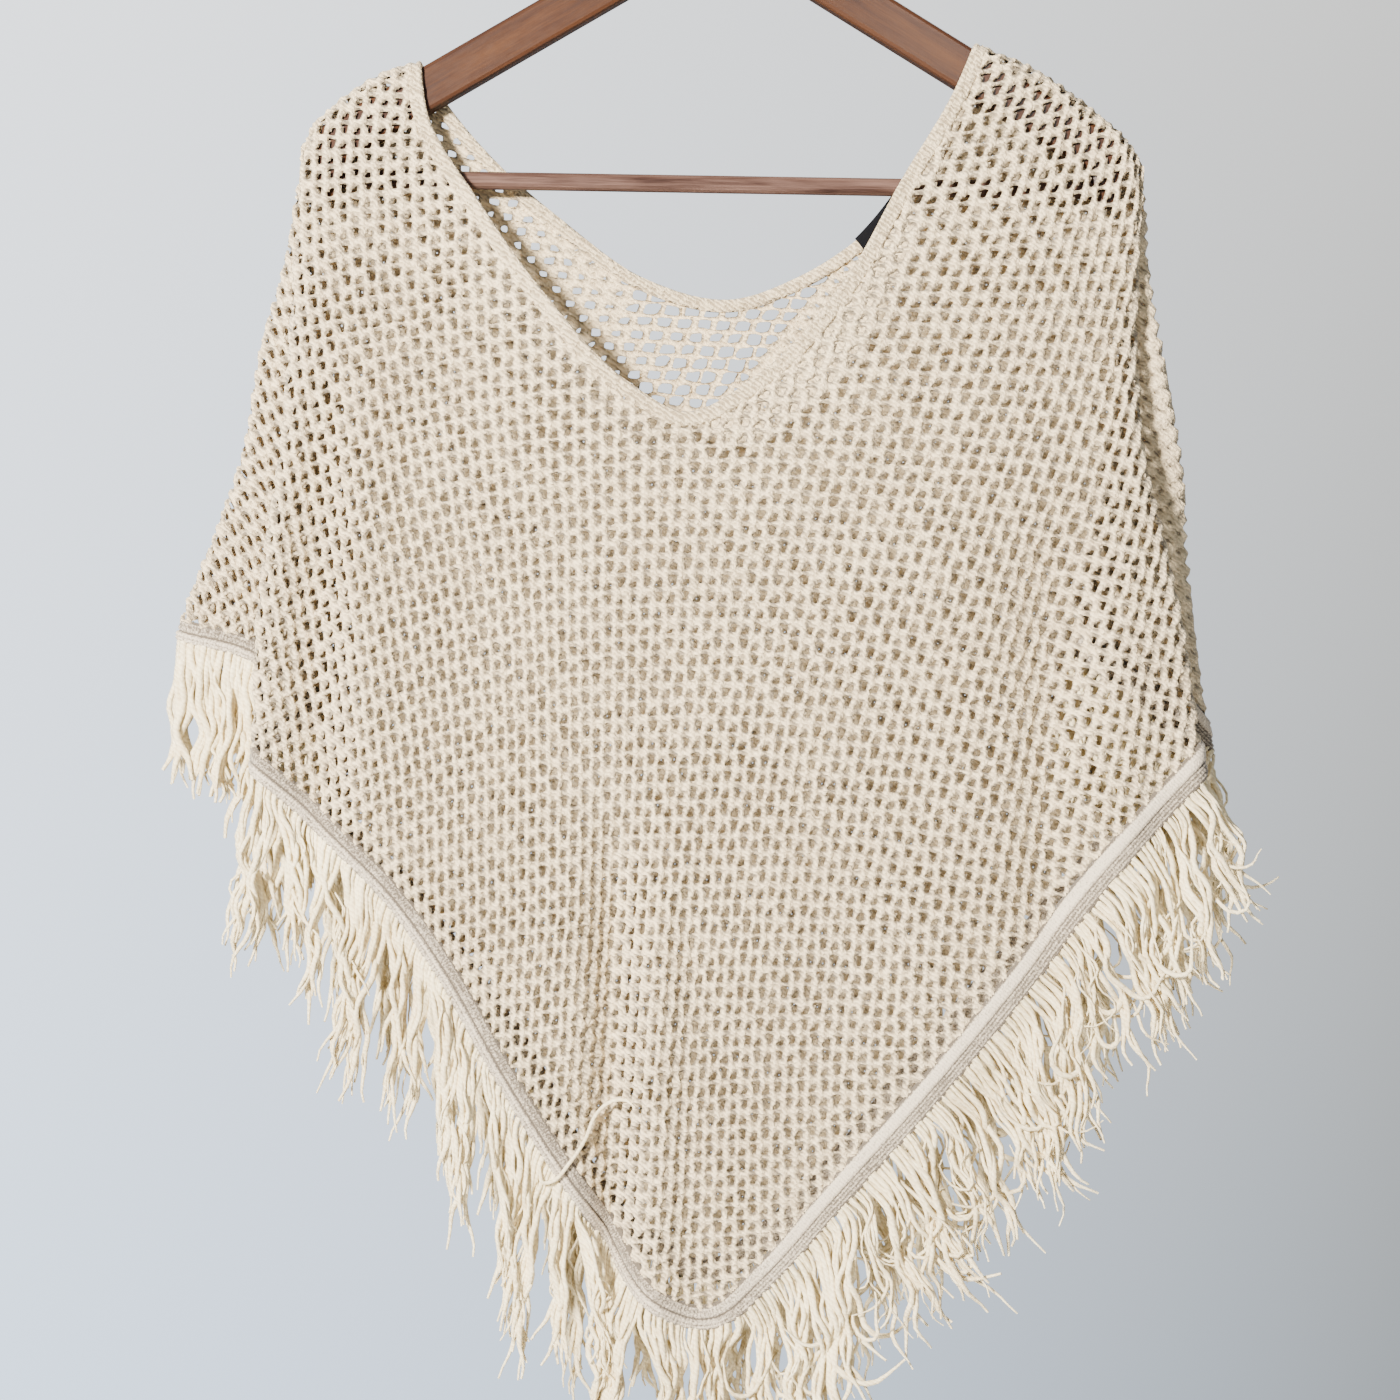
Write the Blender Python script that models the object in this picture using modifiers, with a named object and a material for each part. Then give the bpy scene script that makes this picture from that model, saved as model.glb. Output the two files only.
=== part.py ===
"""Knit poncho hanging flat on a wooden hanger.

The origin is the inner top of the hanger's hook. +X is the right of a viewer
who stands in front, +Y points to the back and +Z points up. All sizes below
are in millimetres, and the meshes are made in metres.
"""

import math

import bmesh
import bpy
import numpy as np

MM = 0.001
COLLECTION = "knit_poncho"
CUTTERS = "cutters"

# Hanger: two straight arms, a round bar near their ends and a wire hook.
ARM_TOP = -74.0           # height where the top edges of the arms would meet
ARM_SLOPE = 0.6           # fall of the arms for each millimetre outwards
ARM_DEEP = 26.2           # upright depth of an arm
ARM_THICK = 12.0
ARM_BEVEL = 4.0
ARM_END = 212.0           # half of the hanger's length
ARM_CROWN = 9.0           # half of the flat on the middle of the hanger
LUG_INNER = 200.0         # the arm's end drops here to take the bar
LUG_BOTTOM = -238.0
END_ROUND = 8.0
BAR_HEIGHT = -227.5
BAR_DIAMETER = 9.5
BAR_HALF = 208.0
SOCKET_GAP = 0.3
HOOK_WIRE = 4.0
HOOK_INNER = 18.0         # radius of the rail that the hook can take
HOOK_SHANK_TOP = -48.0
HOOK_SUNK = 14.0          # length of the shank inside the wood
HOOK_TIP_ANGLE = 215.0

# Cloth.
PANEL_THICK = 2.4
NECK_THICK = 2.6
HEM_THICK = 3.0
FRINGE_THICK = 4.0
LABEL_THICK = 0.8
SEAM_GAP = 0.3
EDGE_GAP = 1.0            # between the middles of two cloth edges that meet at a panel's seam
FAN_GAP = 2.6             # the same at the side seams
NECK_GAP = 0.9
HEM_GAP = 0.5
FOLD_HEM_GAP = 3.6        # the same where the hem turns through the folds
NECK_BAND = 10.0
BEND_RADIUS = 8.4         # from the middle of the arm to the hanging cloth
BEND_DROP = 5.5           # height in which the cloth turns over the arm
CLOTH_LIFT = 2.8          # middle of the cloth above the arm where it rests
PUFF = 6.5                # how far the shoulder stands off the arm between its rests
NECK_LEFT = 158.0
NECK_RIGHT = 134.0
SHOULDER_END = 214.0      # the folds at the sides fan out from here
SIDE_TOP = -214.0         # height where the side seams start
SIDE_LEAN = 26.0          # height in which the fans reach their sections
BELLY_RUN = 230.0
EDGE_RUN = 10.0           # width of the round turn at a ridge
EDGE_DEPTH = 9.0
TURN_RADIUS = 4.0         # of the cloth where it turns back at a ridge, valley or seam
RIDGE_RUN = 110.0

LEFT, RIGHT = -1, 1
FRONT, BACK = -1, 1

# The folds at the sides, as distances from the middle plane, one row for each height.
LEFT_SIDE = dict(
    zip(
        ("height", "front_ridge", "front_valley", "seam", "back_valley", "back_ridge"),
        np.array((
            (-560, 240, 212, 290, 216, 237),
            (-515, 239, 210, 287, 214, 236),
            (-465, 238, 208, 281, 212, 233),
            (-415, 233, 209, 263, 212, 228),
            (-375, 228, 211, 250, 213, 224),
            (-320, 225, 214, 241, 215, 221),
            (-264, 222, 218, 227, 218, 219),
            (-235, 220, 220, 223, 220, 219),
            (-214, 218, 219, 221, 219, 217),
        )).T,
    )
)
RIGHT_SIDE = dict(
    zip(
        ("height", "front_ridge", "seam", "back_ridge"),
        np.array((
            (-560, 266, 186, 277),
            (-515, 256, 188, 267),
            (-465, 248, 192, 259),
            (-415, 237, 200, 253),
            (-375, 227, 206, 250),
            (-320, 222, 213, 239),
            (-264, 222, 221, 229),
            (-235, 221, 225, 227),
            (-214, 220, 224.5, 224),
        )).T,
    )
)
FRONT_VALLEY_Y = -7.0
LEFT_SEAM_Y = 4.0
BACK_VALLEY_Y = 12.0
RIGHT_SEAM_Y = -1.0

# Inner edge of the neck band: across and height, from the left seam to the right.
FRONT_NECK = (
    (-154, -193), (-126, -240), (-88, -292), (-46, -335), (-16, -350.5),
    (22, -330.5), (66, -281), (97, -224), (124, -176),
)
BACK_NECK = (
    (-144, -187), (-115, -219), (-82, -246), (-38, -275), (9, -285),
    (41, -274), (73, -254), (102, -223), (126, -180),
)

# Upper edge of the hem band: across and height, between the ridges.
FRONT_HEM = (
    (-239, -528), (-200, -562), (-157, -604), (-135, -634), (-97, -698), (-45, -775),
    (-20, -808), (3, -817), (26, -797), (62, -755), (117, -691), (166, -629),
    (208, -572), (256, -519),
)
BACK_HEM = (
    (-236, -522), (-157, -603), (-97, -682), (-25, -788), (3, -803), (30, -784),
    (117, -682), (208, -574), (266, -508),
)
# Upper edge of the hem band inside the folds, from the ridge to the seam.
LEFT_FRONT_FOLD_HEM = ((0.0, -528), (0.4, -500), (0.7, -471), (1.0, -462))
LEFT_BACK_FOLD_HEM = ((0.0, -522), (0.4, -499), (0.7, -471), (1.0, -462))
RIGHT_FRONT_FOLD_HEM = ((0.0, -519), (0.6, -472), (1.0, -458))
RIGHT_BACK_FOLD_HEM = ((0.0, -508), (0.6, -470), (1.0, -458))
VALLEY_SHARE = 0.4        # share of a left fold between its ridge and its valley
HEM_BAND_LEFT = 12.0
HEM_BAND_RIGHT = 15.5
FRINGE_SIDE = 78.0        # reach of the fringe at the side seams
FRINGE_REACH = 96.0       # reach of the fringe elsewhere
FRINGE_LEAN_LEFT = 16.0   # how far the fringe leaves the hem outwards
FRINGE_LEAN_RIGHT = 26.0

# Soft folds: across and height of the top, the same of the foot, half width and rise.
FOLD_COLUMNS = ("top_x", "top_z", "foot_x", "foot_z", "half_width", "rise")
FRONT_FOLDS = (
    (-206, -340, -207, -540, 17, -5.0),
    (-182, -300, -178, -560, 16, 3.0),
    (-26, -640, -24, -830, 15, 3.5),
    (-50, -600, -46, -800, 14, -4.0),
    (176, -400, 178, -600, 18, -4.0),
    (214, -400, 220, -560, 16, 2.5),
)
BACK_FOLDS = (
    (-150, -300, -140, -620, 26, 4.0),
    (-60, -420, -40, -800, 24, -4.0),
    (30, -380, 22, -790, 26, 5.0),
    (120, -300, 110, -680, 24, -4.0),
    (200, -330, 205, -570, 20, 4.0),
)

LABEL_START = (74.5, -252.2)
LABEL_LONG = 36.0
LABEL_WIDE = 9.0

ROWS = 12
LEG_COLUMNS = 6           # even columns of one leg of the neck, below the arm
LEG_START = 22.0          # length of neck edge that lies over and beside the arm
BEND_STEPS = (0.0, 15.0, 50.0, 90.0)
# Place of the columns between the neck corner (0) and the ridge (1).
SHOULDER_SHARES = (0.0, 0.36, 0.66, 0.85, 0.95, 1.0)
NECK_CORNER_SHARE = 0.80
LEG_SHARES = (0.70, 0.735, 0.765, 0.785)    # of the columns that end on the steep neck edge


def smooth(value):
    """Ease from 0 to 1."""
    value = np.clip(value, 0.0, 1.0)
    return value * value * (3.0 - 2.0 * value)


def hermite(start, start_slope, end, end_slope, share):
    """Cubic between two values with given slopes."""
    square = share * share
    cube = square * share
    return (
        start * (2 * cube - 3 * square + 1)
        + start_slope * (cube - 2 * square + share)
        + end * (3 * square - 2 * cube)
        + end_slope * (cube - square)
    )


def read(places, values, place):
    """Smooth curve through values at rising places, flat beyond both ends."""
    places = np.asarray(places, float)
    values = np.asarray(values, float)
    slopes = np.gradient(values, places)
    place = np.clip(place, places[0], places[-1])
    index = np.clip(np.searchsorted(places, place) - 1, 0, len(places) - 2)
    span = places[index + 1] - places[index]
    share = (place - places[index]) / span
    return hermite(
        values[index], slopes[index] * span, values[index + 1], slopes[index + 1] * span, share
    )


def through(points, per_span=24):
    """Dense smooth line through a short list of points."""
    points = np.asarray(points, float)
    steps = np.r_[0.0, np.cumsum(np.linalg.norm(np.diff(points, axis=0), axis=1))]
    dense = np.linspace(0.0, steps[-1], per_span * (len(points) - 1) + 1)
    return np.stack([read(steps, points[:, axis], dense) for axis in range(points.shape[1])], 1)


def lengths(line):
    """Length along a line at each of its points."""
    return np.r_[0.0, np.cumsum(np.linalg.norm(np.diff(line, axis=0), axis=1))]


def shoulder_height(x):
    """Middle of the cloth where it lies on the arm, carried on to the middle plane."""
    x = np.asarray(x, float)
    neck = np.where(x < 0, NECK_LEFT, NECK_RIGHT)
    share = np.clip((np.abs(x) - neck) / (SHOULDER_END - neck), 0.0, 1.0)
    return ARM_TOP - ARM_SLOPE * np.abs(x) + CLOTH_LIFT + PUFF * np.sin(math.pi * share)


def bend_out(drop):
    """How far the cloth has turned over the arm: 0 on its top, 1 where it hangs."""
    return np.sin(np.arccos(1.0 - np.clip(drop, 0.0, BEND_DROP) / BEND_DROP))


def bend_heights():
    """Drops at the steps of the bend over the arm."""
    return BEND_DROP * (1.0 - np.cos(np.radians(BEND_STEPS)))


class Panel:
    """One panel's numbers, and its surface as a depth in front of or behind the arms."""

    def __init__(self, face, belly, neck, hem, fold_hems, folds):
        self.face = face
        self.belly = belly
        self.neck = neck
        self.hem = through(hem)
        self.fold_hems = fold_hems
        self.folds = [dict(zip(FOLD_COLUMNS, row)) for row in folds]
        self.ridge_name = "front_ridge" if face == FRONT else "back_ridge"
        self.centre_top = neck[len(neck) // 2][0]
        self.centre_foot = self.hem[np.argmin(self.hem[:, 1])][0]

    def ridge_x(self, side, z):
        rows = LEFT_SIDE if side == LEFT else RIGHT_SIDE
        return side * read(rows["height"], rows[self.ridge_name], z)

    def ridge_column(self, side, z):
        """The ridge, drawn in to the end of the arm at its top."""
        start = side * SHOULDER_END
        lean = smooth((shoulder_height(start) - z) / SIDE_LEAN)
        return start + (self.ridge_x(side, z) - start) * lean

    def soft_folds(self, x, z):
        """Rise of the soft folds, each a bell across a line that runs down the cloth."""
        rise = np.zeros(np.broadcast(x, z).shape)
        for fold in self.folds:
            length = fold["top_z"] - fold["foot_z"]
            share = (fold["top_z"] - z) / length
            middle = fold["top_x"] + (fold["foot_x"] - fold["top_x"]) * share
            ends = smooth(share * 3.0) * smooth((1.15 - share) * 4.0)
            rise = rise + fold["rise"] * ends * np.exp(-(((x - middle) / fold["half_width"]) ** 2))
        return rise

    def depth(self, x, z):
        """Distance of the cloth from the hanger's middle plane."""
        drop = np.maximum(shoulder_height(x) - z, 0.0)
        over = BEND_RADIUS * bend_out(drop)
        belly = (self.belly - BEND_RADIUS) * smooth((drop - BEND_DROP) / BELLY_RUN)
        ridge = np.abs(np.where(x < 0, self.ridge_x(LEFT, z), self.ridge_x(RIGHT, z)))
        edge = np.clip(1.0 - (ridge - np.abs(x)) / EDGE_RUN, 0.0, 1.0)
        round_off = EDGE_DEPTH * (1.0 - np.sqrt(1.0 - edge * edge))
        round_off = round_off * smooth((drop - BEND_DROP) / RIDGE_RUN)
        deep = over + belly + self.soft_folds(x, z) - round_off
        return np.maximum(deep, EDGE_GAP / 2)

    def place(self, x, z):
        """Point of the cloth at this height and distance across."""
        x, z = np.broadcast_arrays(np.asarray(x, float), np.asarray(z, float))
        return np.stack([x, self.face * self.depth(x, z), z], -1)

    def turns(self, side, z):
        """The turning points of a folded side: (share, x, y), from the ridge to the seam."""
        grow = smooth((SIDE_TOP - z) / 200.0)
        open_up = 0.65 + 0.35 * grow
        x_ridge = self.ridge_x(side, z)
        y_ridge = self.face * self.depth(self.ridge_column(side, z), z)
        gap = self.face * FAN_GAP / 2
        if side == RIGHT:
            x_seam = read(RIGHT_SIDE["height"], RIGHT_SIDE["seam"], z)
            return [(0.0, x_ridge, y_ridge), (1.0, x_seam, RIGHT_SEAM_Y * grow + gap)]
        valley = "front_valley" if self.face == FRONT else "back_valley"
        y_valley = FRONT_VALLEY_Y if self.face == FRONT else BACK_VALLEY_Y
        x_valley = -read(LEFT_SIDE["height"], LEFT_SIDE[valley], z)
        x_seam = -read(LEFT_SIDE["height"], LEFT_SIDE["seam"], z)
        return [
            (0.0, x_ridge, y_ridge),
            (VALLEY_SHARE, x_valley, y_valley * open_up),
            (1.0, x_seam, LEFT_SEAM_Y * grow + gap),
        ]

    def fold_point(self, side, share, z):
        """Point of a folded side at a share of the way from its ridge to its seam."""
        turns = self.turns(side, z)
        for before, after in zip(turns, turns[1:]):
            if share <= after[0] + 1e-9:
                break
        part = (share - before[0]) / (after[0] - before[0])
        round_swing = math.sqrt(6.0 * TURN_RADIUS * abs(after[1] - before[1]))
        slope = -self.face * max(round_swing, abs(after[2] - before[2]))
        x = hermite(before[1], 0.0, after[1], 0.0, part)
        y = hermite(before[2], slope, after[2], slope, part)
        top = self.fan_top(side, share)
        lean = float(smooth((top[2] - z) / SIDE_LEAN))
        turned = bend_out(top[2] - z)
        lean_y = 1.0 + (turned - 1.0) * float(smooth(share / 0.15))
        return np.array([
            top[0] + (x - top[0]) * lean,
            top[1] + (y - top[1]) * lean_y,
            z,
        ])

    def fan_top(self, side, share):
        """Start of a fan's column, on the seam that wraps the end of the arm."""
        x_start = side * SHOULDER_END
        z_start = float(shoulder_height(x_start))
        rows = LEFT_SIDE if side == LEFT else RIGHT_SIDE
        x_seam = side * read(rows["height"], rows["seam"], SIDE_TOP)
        return np.array([
            x_start + (x_seam - x_start) * share,
            self.face * (EDGE_GAP + (FAN_GAP - EDGE_GAP) * min(share * 20.0, 1.0)) / 2,
            z_start + (SIDE_TOP - z_start) * share,
        ])

    def neck_line(self, out=0.0):
        """The neck edge moved outwards, from the left seam to the right, as x and z."""
        ends = [(-NECK_LEFT, float(shoulder_height(-NECK_LEFT)))]
        ends.append((NECK_RIGHT, float(shoulder_height(NECK_RIGHT))))
        line = through([ends[0], *self.neck, ends[1]])
        tangent = np.gradient(line, axis=0)
        tangent /= np.linalg.norm(tangent, axis=1)[:, None]
        normal = np.stack([tangent[:, 1], -tangent[:, 0]], 1)
        drop = shoulder_height(line[:, 0]) - line[:, 1]
        on_arm = (1.0 - smooth(drop / 18.0))[:, None]
        along_arm = np.stack([np.sign(line[:, 0]), -ARM_SLOPE * np.ones(len(line))], 1)
        along_arm /= math.hypot(1.0, ARM_SLOPE)
        normal = normal * (1.0 - on_arm) + along_arm * on_arm
        return line + normal * out

    def hem_height(self, x):
        return np.interp(x, self.hem[:, 0], self.hem[:, 1])


PANELS = {
    "front": Panel(FRONT, 27.0, FRONT_NECK, FRONT_HEM,
                   {LEFT: LEFT_FRONT_FOLD_HEM, RIGHT: RIGHT_FRONT_FOLD_HEM}, FRONT_FOLDS),
    "back": Panel(BACK, 24.0, BACK_NECK, BACK_HEM,
                  {LEFT: LEFT_BACK_FOLD_HEM, RIGHT: RIGHT_BACK_FOLD_HEM}, BACK_FOLDS),
}


def column_heights(top, foot):
    """Heights of a column's points: short steps for the bend, then even ones."""
    return np.r_[top - bend_heights()[:-1], np.linspace(top - BEND_DROP, foot, ROWS)]


def inner_column(panel, side, top, share):
    """Column between the middle (share 0) and the ridge (share 1) of one side."""
    ridge_foot = panel.ridge_x(side, panel.fold_hems[side][0][1])
    foot_x = panel.centre_foot + (ridge_foot - panel.centre_foot) * share
    foot_z = float(panel.hem_height(foot_x))
    if share == 1.0:
        foot_z = panel.fold_hems[side][0][1]
    z = column_heights(top[1], foot_z)
    x = top[0] + (foot_x - top[0]) * (top[1] - z) / (top[1] - foot_z)
    start = side * SHOULDER_END
    straight = start + (ridge_foot - start) * (shoulder_height(start) - z) / (
        shoulder_height(start) - panel.fold_hems[side][0][1])
    bend = (panel.ridge_column(side, z) - straight) * share ** 3
    x = x + bend * smooth((top[1] - z) / SIDE_LEAN)
    return panel.place(x, z)


def half_columns(panel, side):
    """Columns of one half of a panel, from the middle to the seam."""
    stations = neck_stations(panel)
    tops = neck_points(panel, NECK_BAND + NECK_GAP, stations)
    middle = len(stations) // 2
    leg_tops = tops[middle:] if side == RIGHT else tops[middle::-1]
    columns = []
    for top, share in zip(leg_tops, neck_shares()):
        columns.append(inner_column(panel, side, top, share))
    corner_x = leg_tops[-1][0]
    for part in SHOULDER_SHARES[1:]:
        top_x = corner_x + (side * SHOULDER_END - corner_x) * part
        share = NECK_CORNER_SHARE + (1.0 - NECK_CORNER_SHARE) * part
        columns.append(inner_column(panel, side, (top_x, float(shoulder_height(top_x))), share))
    for share in fold_shares(side)[1:]:
        foot = float(fold_hem_height(panel, side, share))
        top = panel.fan_top(side, share)
        heights = column_heights(top[2], foot)
        columns.append(np.array([panel.fold_point(side, share, z) for z in heights]))
    return columns


def neck_shares():
    """Shares of the columns that end at the neck, from the middle to the neck corner."""
    even = np.linspace(0.0, LEG_SHARES[0], LEG_COLUMNS + 1)
    return np.r_[even, LEG_SHARES[1:], NECK_CORNER_SHARE]


def fold_shares(side):
    """Shares of the columns across a folded side."""
    if side == RIGHT:
        return np.array((0.0, 0.12, 0.35, 0.62, 0.86, 0.97, 1.0))
    first = VALLEY_SHARE * np.array((0.0, 0.2, 0.5, 0.8))
    second = np.array((0.0, 0.14, 0.36, 0.64, 0.86, 0.97, 1.0))
    return np.r_[first, VALLEY_SHARE + (1.0 - VALLEY_SHARE) * second]


def fold_hem_height(panel, side, share):
    rows = np.array(panel.fold_hems[side])
    return read(rows[:, 0], rows[:, 1], share)


def panel_grid(panel):
    """All columns of a panel, from the left seam to the right one."""
    left = half_columns(panel, LEFT)
    right = half_columns(panel, RIGHT)
    return np.stack(left[::-1] + right[1:], 1)


def hem_line(panel):
    """Foot of each column: side, share across the fold or None, x and height."""
    line = []
    for side in (LEFT, RIGHT):
        half = []
        shares = list(neck_shares())
        shares += [NECK_CORNER_SHARE + (1 - NECK_CORNER_SHARE) * s for s in SHOULDER_SHARES[1:]]
        for share in shares:
            half.append((side, share, None))
        for share in fold_shares(side)[1:]:
            half.append((side, 1.0, share))
        line += half[::-1] if side == LEFT else half[1:]
    return line


def below_hem(panel, stop, height):
    """Point of the cloth's surface at a height at or below the hem, in one column."""
    side, share, fold_share = stop
    if fold_share is not None:
        return panel.fold_point(side, fold_share, height)
    ridge = panel.ridge_x(side, height)
    x = panel.centre_foot + (ridge - panel.centre_foot) * share
    return panel.place(x, height)


def hem_edge(panel):
    """Columns, heights, steepness and gap along the panel's lower edge."""
    stops = hem_line(panel)
    heights = []
    for side, share, fold_share in stops:
        if fold_share is not None:
            heights.append(float(fold_hem_height(panel, side, fold_share)))
            continue
        ridge_foot = panel.ridge_x(side, panel.fold_hems[side][0][1])
        x = panel.centre_foot + (ridge_foot - panel.centre_foot) * share
        heights.append(panel.fold_hems[side][0][1] if share == 1.0 else float(panel.hem_height(x)))
    heights = np.array(heights)
    points = np.array([below_hem(panel, stop, z) for stop, z in zip(stops, heights)])
    run = np.diff(points, axis=0)
    level = np.linalg.norm(run[:, :2], axis=1) / np.linalg.norm(run, axis=1)
    level = np.minimum(np.r_[level[0], level], np.r_[level, level[-1]])
    level = np.maximum(level, 0.45)
    gap = np.array([HEM_GAP if share < 0.95 else FOLD_HEM_GAP for _, share, _ in stops]) / level
    return stops, heights, level, gap


def band_width(points):
    """Width of the hem band, which is rolled under on the left."""
    return HEM_BAND_LEFT + (HEM_BAND_RIGHT - HEM_BAND_LEFT) * smooth((points[:, 0] + 60.0) / 160.0)


def hem_band_grid(panel):
    """The two edges of the hem band."""
    stops, heights, level, gap = hem_edge(panel)
    upper = heights - gap
    points = np.array([below_hem(panel, stop, z) for stop, z in zip(stops, upper)])
    lower = upper - band_width(points) / level
    return np.array([
        [below_hem(panel, stop, z) for stop, z in zip(stops, edge)]
        for edge in (upper, upper * 0.5 + lower * 0.5, lower)
    ])


def fringe_grid(panel):
    """Outer reach of the fringe, which leaves the band outwards and hangs down."""
    stops, _, _, gap = hem_edge(panel)
    start = hem_band_grid(panel)[-1] - np.outer(gap, (0.0, 0.0, 1.0))
    side_share = np.array([0.0 if stop[2] is None else stop[2] for stop in stops])
    reach = FRINGE_REACH + (FRINGE_SIDE - FRINGE_REACH) * smooth(side_share)
    lean = np.where(start[:, 0] < 0, FRINGE_LEAN_LEFT, FRINGE_LEAN_RIGHT)
    lean = lean * np.tanh(start[:, 0] / 60.0) * np.abs(np.sign(start[:, 0]))
    lean = lean * (1.0 - 0.7 * smooth(side_share * 2.0))
    rows = [start]
    for down, out in ((0.4, 0.75), (1.0, 1.0)):
        row = start.copy()
        row[:, 0] += lean * out
        row[:, 2] -= reach * down
        rows.append(row)
    return np.array(rows)


def neck_stations(panel):
    """Lengths along the neck edge: short steps over the arms, then even ones."""
    line = panel.neck_line()
    along = lengths(line)
    middle = along[np.argmin(line[:, 1])]
    start = np.r_[bend_heights(), LEG_START]
    left = np.linspace(LEG_START, middle, LEG_COLUMNS + 1)
    right = np.linspace(middle, along[-1] - LEG_START, LEG_COLUMNS + 1)
    return np.r_[start[:-1], left, right[1:], along[-1] - start[-2::-1]]


def neck_points(panel, out, stations):
    """Points x and z of the neck edge moved outwards, at lengths along the edge itself."""
    along = lengths(panel.neck_line())
    line = panel.neck_line(out)
    return np.stack([np.interp(stations, along, line[:, axis]) for axis in (0, 1)], 1)


def neck_band_grid(panel):
    """The two edges of the neck band, from the left seam to the right one."""
    stations = neck_stations(panel)
    edges = [neck_points(panel, out, stations) for out in (0.0, NECK_BAND)]
    return np.array([panel.place(edge[:, 0], edge[:, 1]) for edge in edges])


def label_grid(panel):
    """The label, on the inside of the back neck band and parallel to it."""
    line = panel.neck_line()
    nearest = np.argmin(np.linalg.norm(line - np.array(LABEL_START), axis=1))
    start = lengths(line)[nearest]
    stations = np.linspace(start, start + LABEL_LONG, 5)
    inwards = NECK_THICK / 2 + SEAM_GAP + LABEL_THICK / 2
    rows = []
    for out in (SEAM_GAP, SEAM_GAP + LABEL_WIDE):
        edge = neck_points(panel, out, stations)
        points = panel.place(edge[:, 0], edge[:, 1])
        points[:, 1] -= panel.face * inwards
        rows.append(points)
    return np.array(rows)


def make_material(name, colour, roughness, metallic=0.0):
    """Plain Principled material."""
    material = bpy.data.materials.new(name)
    material.use_nodes = True
    shader = material.node_tree.nodes["Principled BSDF"]
    shader.inputs["Base Color"].default_value = (*colour, 1.0)
    shader.inputs["Roughness"].default_value = roughness
    shader.inputs["Metallic"].default_value = metallic
    return material


def make_collection(name):
    collection = bpy.data.collections.new(name)
    bpy.context.scene.collection.children.link(collection)
    return collection


def add_object(name, data, collection, material=None):
    thing = bpy.data.objects.new(name, data)
    collection.objects.link(thing)
    if material is not None:
        data.materials.append(material)
    return thing


def make_sheet(name, grid, thick, collection, material):
    """A sheet of cloth: an open surface on a grid of points, with a thickness."""
    rows, columns = grid.shape[:2]
    faces = []
    for row in range(rows - 1):
        for column in range(columns - 1):
            corner = row * columns + column
            faces.append((corner, corner + columns, corner + columns + 1, corner + 1))
    mesh = bpy.data.meshes.new(name)
    mesh.from_pydata((grid.reshape(-1, 3) * MM).tolist(), [], faces)
    mesh.shade_smooth()
    sheet = add_object(name, mesh, collection, material)
    solid = sheet.modifiers.new("thickness", "SOLIDIFY")
    solid.thickness = thick * MM
    solid.offset = 0.0
    return sheet


def arm_outline():
    """Outline of the hanger's wood in the XZ plane, right half first."""
    top = ARM_TOP - ARM_SLOPE * ARM_CROWN
    end_top = ARM_TOP - ARM_SLOPE * (ARM_END - END_ROUND)
    half = [
        (ARM_CROWN, top),
        (ARM_END - END_ROUND, end_top),
        (ARM_END - 0.3 * END_ROUND, end_top - 0.5 * END_ROUND),
        (ARM_END, end_top - 1.4 * END_ROUND),
        (ARM_END, LUG_BOTTOM + 0.6 * END_ROUND),
        (ARM_END - 0.6 * END_ROUND, LUG_BOTTOM),
        (LUG_INNER + 1.0, LUG_BOTTOM),
        (LUG_INNER - 4.0, ARM_TOP - ARM_DEEP - ARM_SLOPE * (LUG_INNER - 4.0)),
        (ARM_CROWN, ARM_TOP - ARM_DEEP - ARM_SLOPE * ARM_CROWN),
    ]
    return half + [(-x, z) for x, z in reversed(half)]


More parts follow.
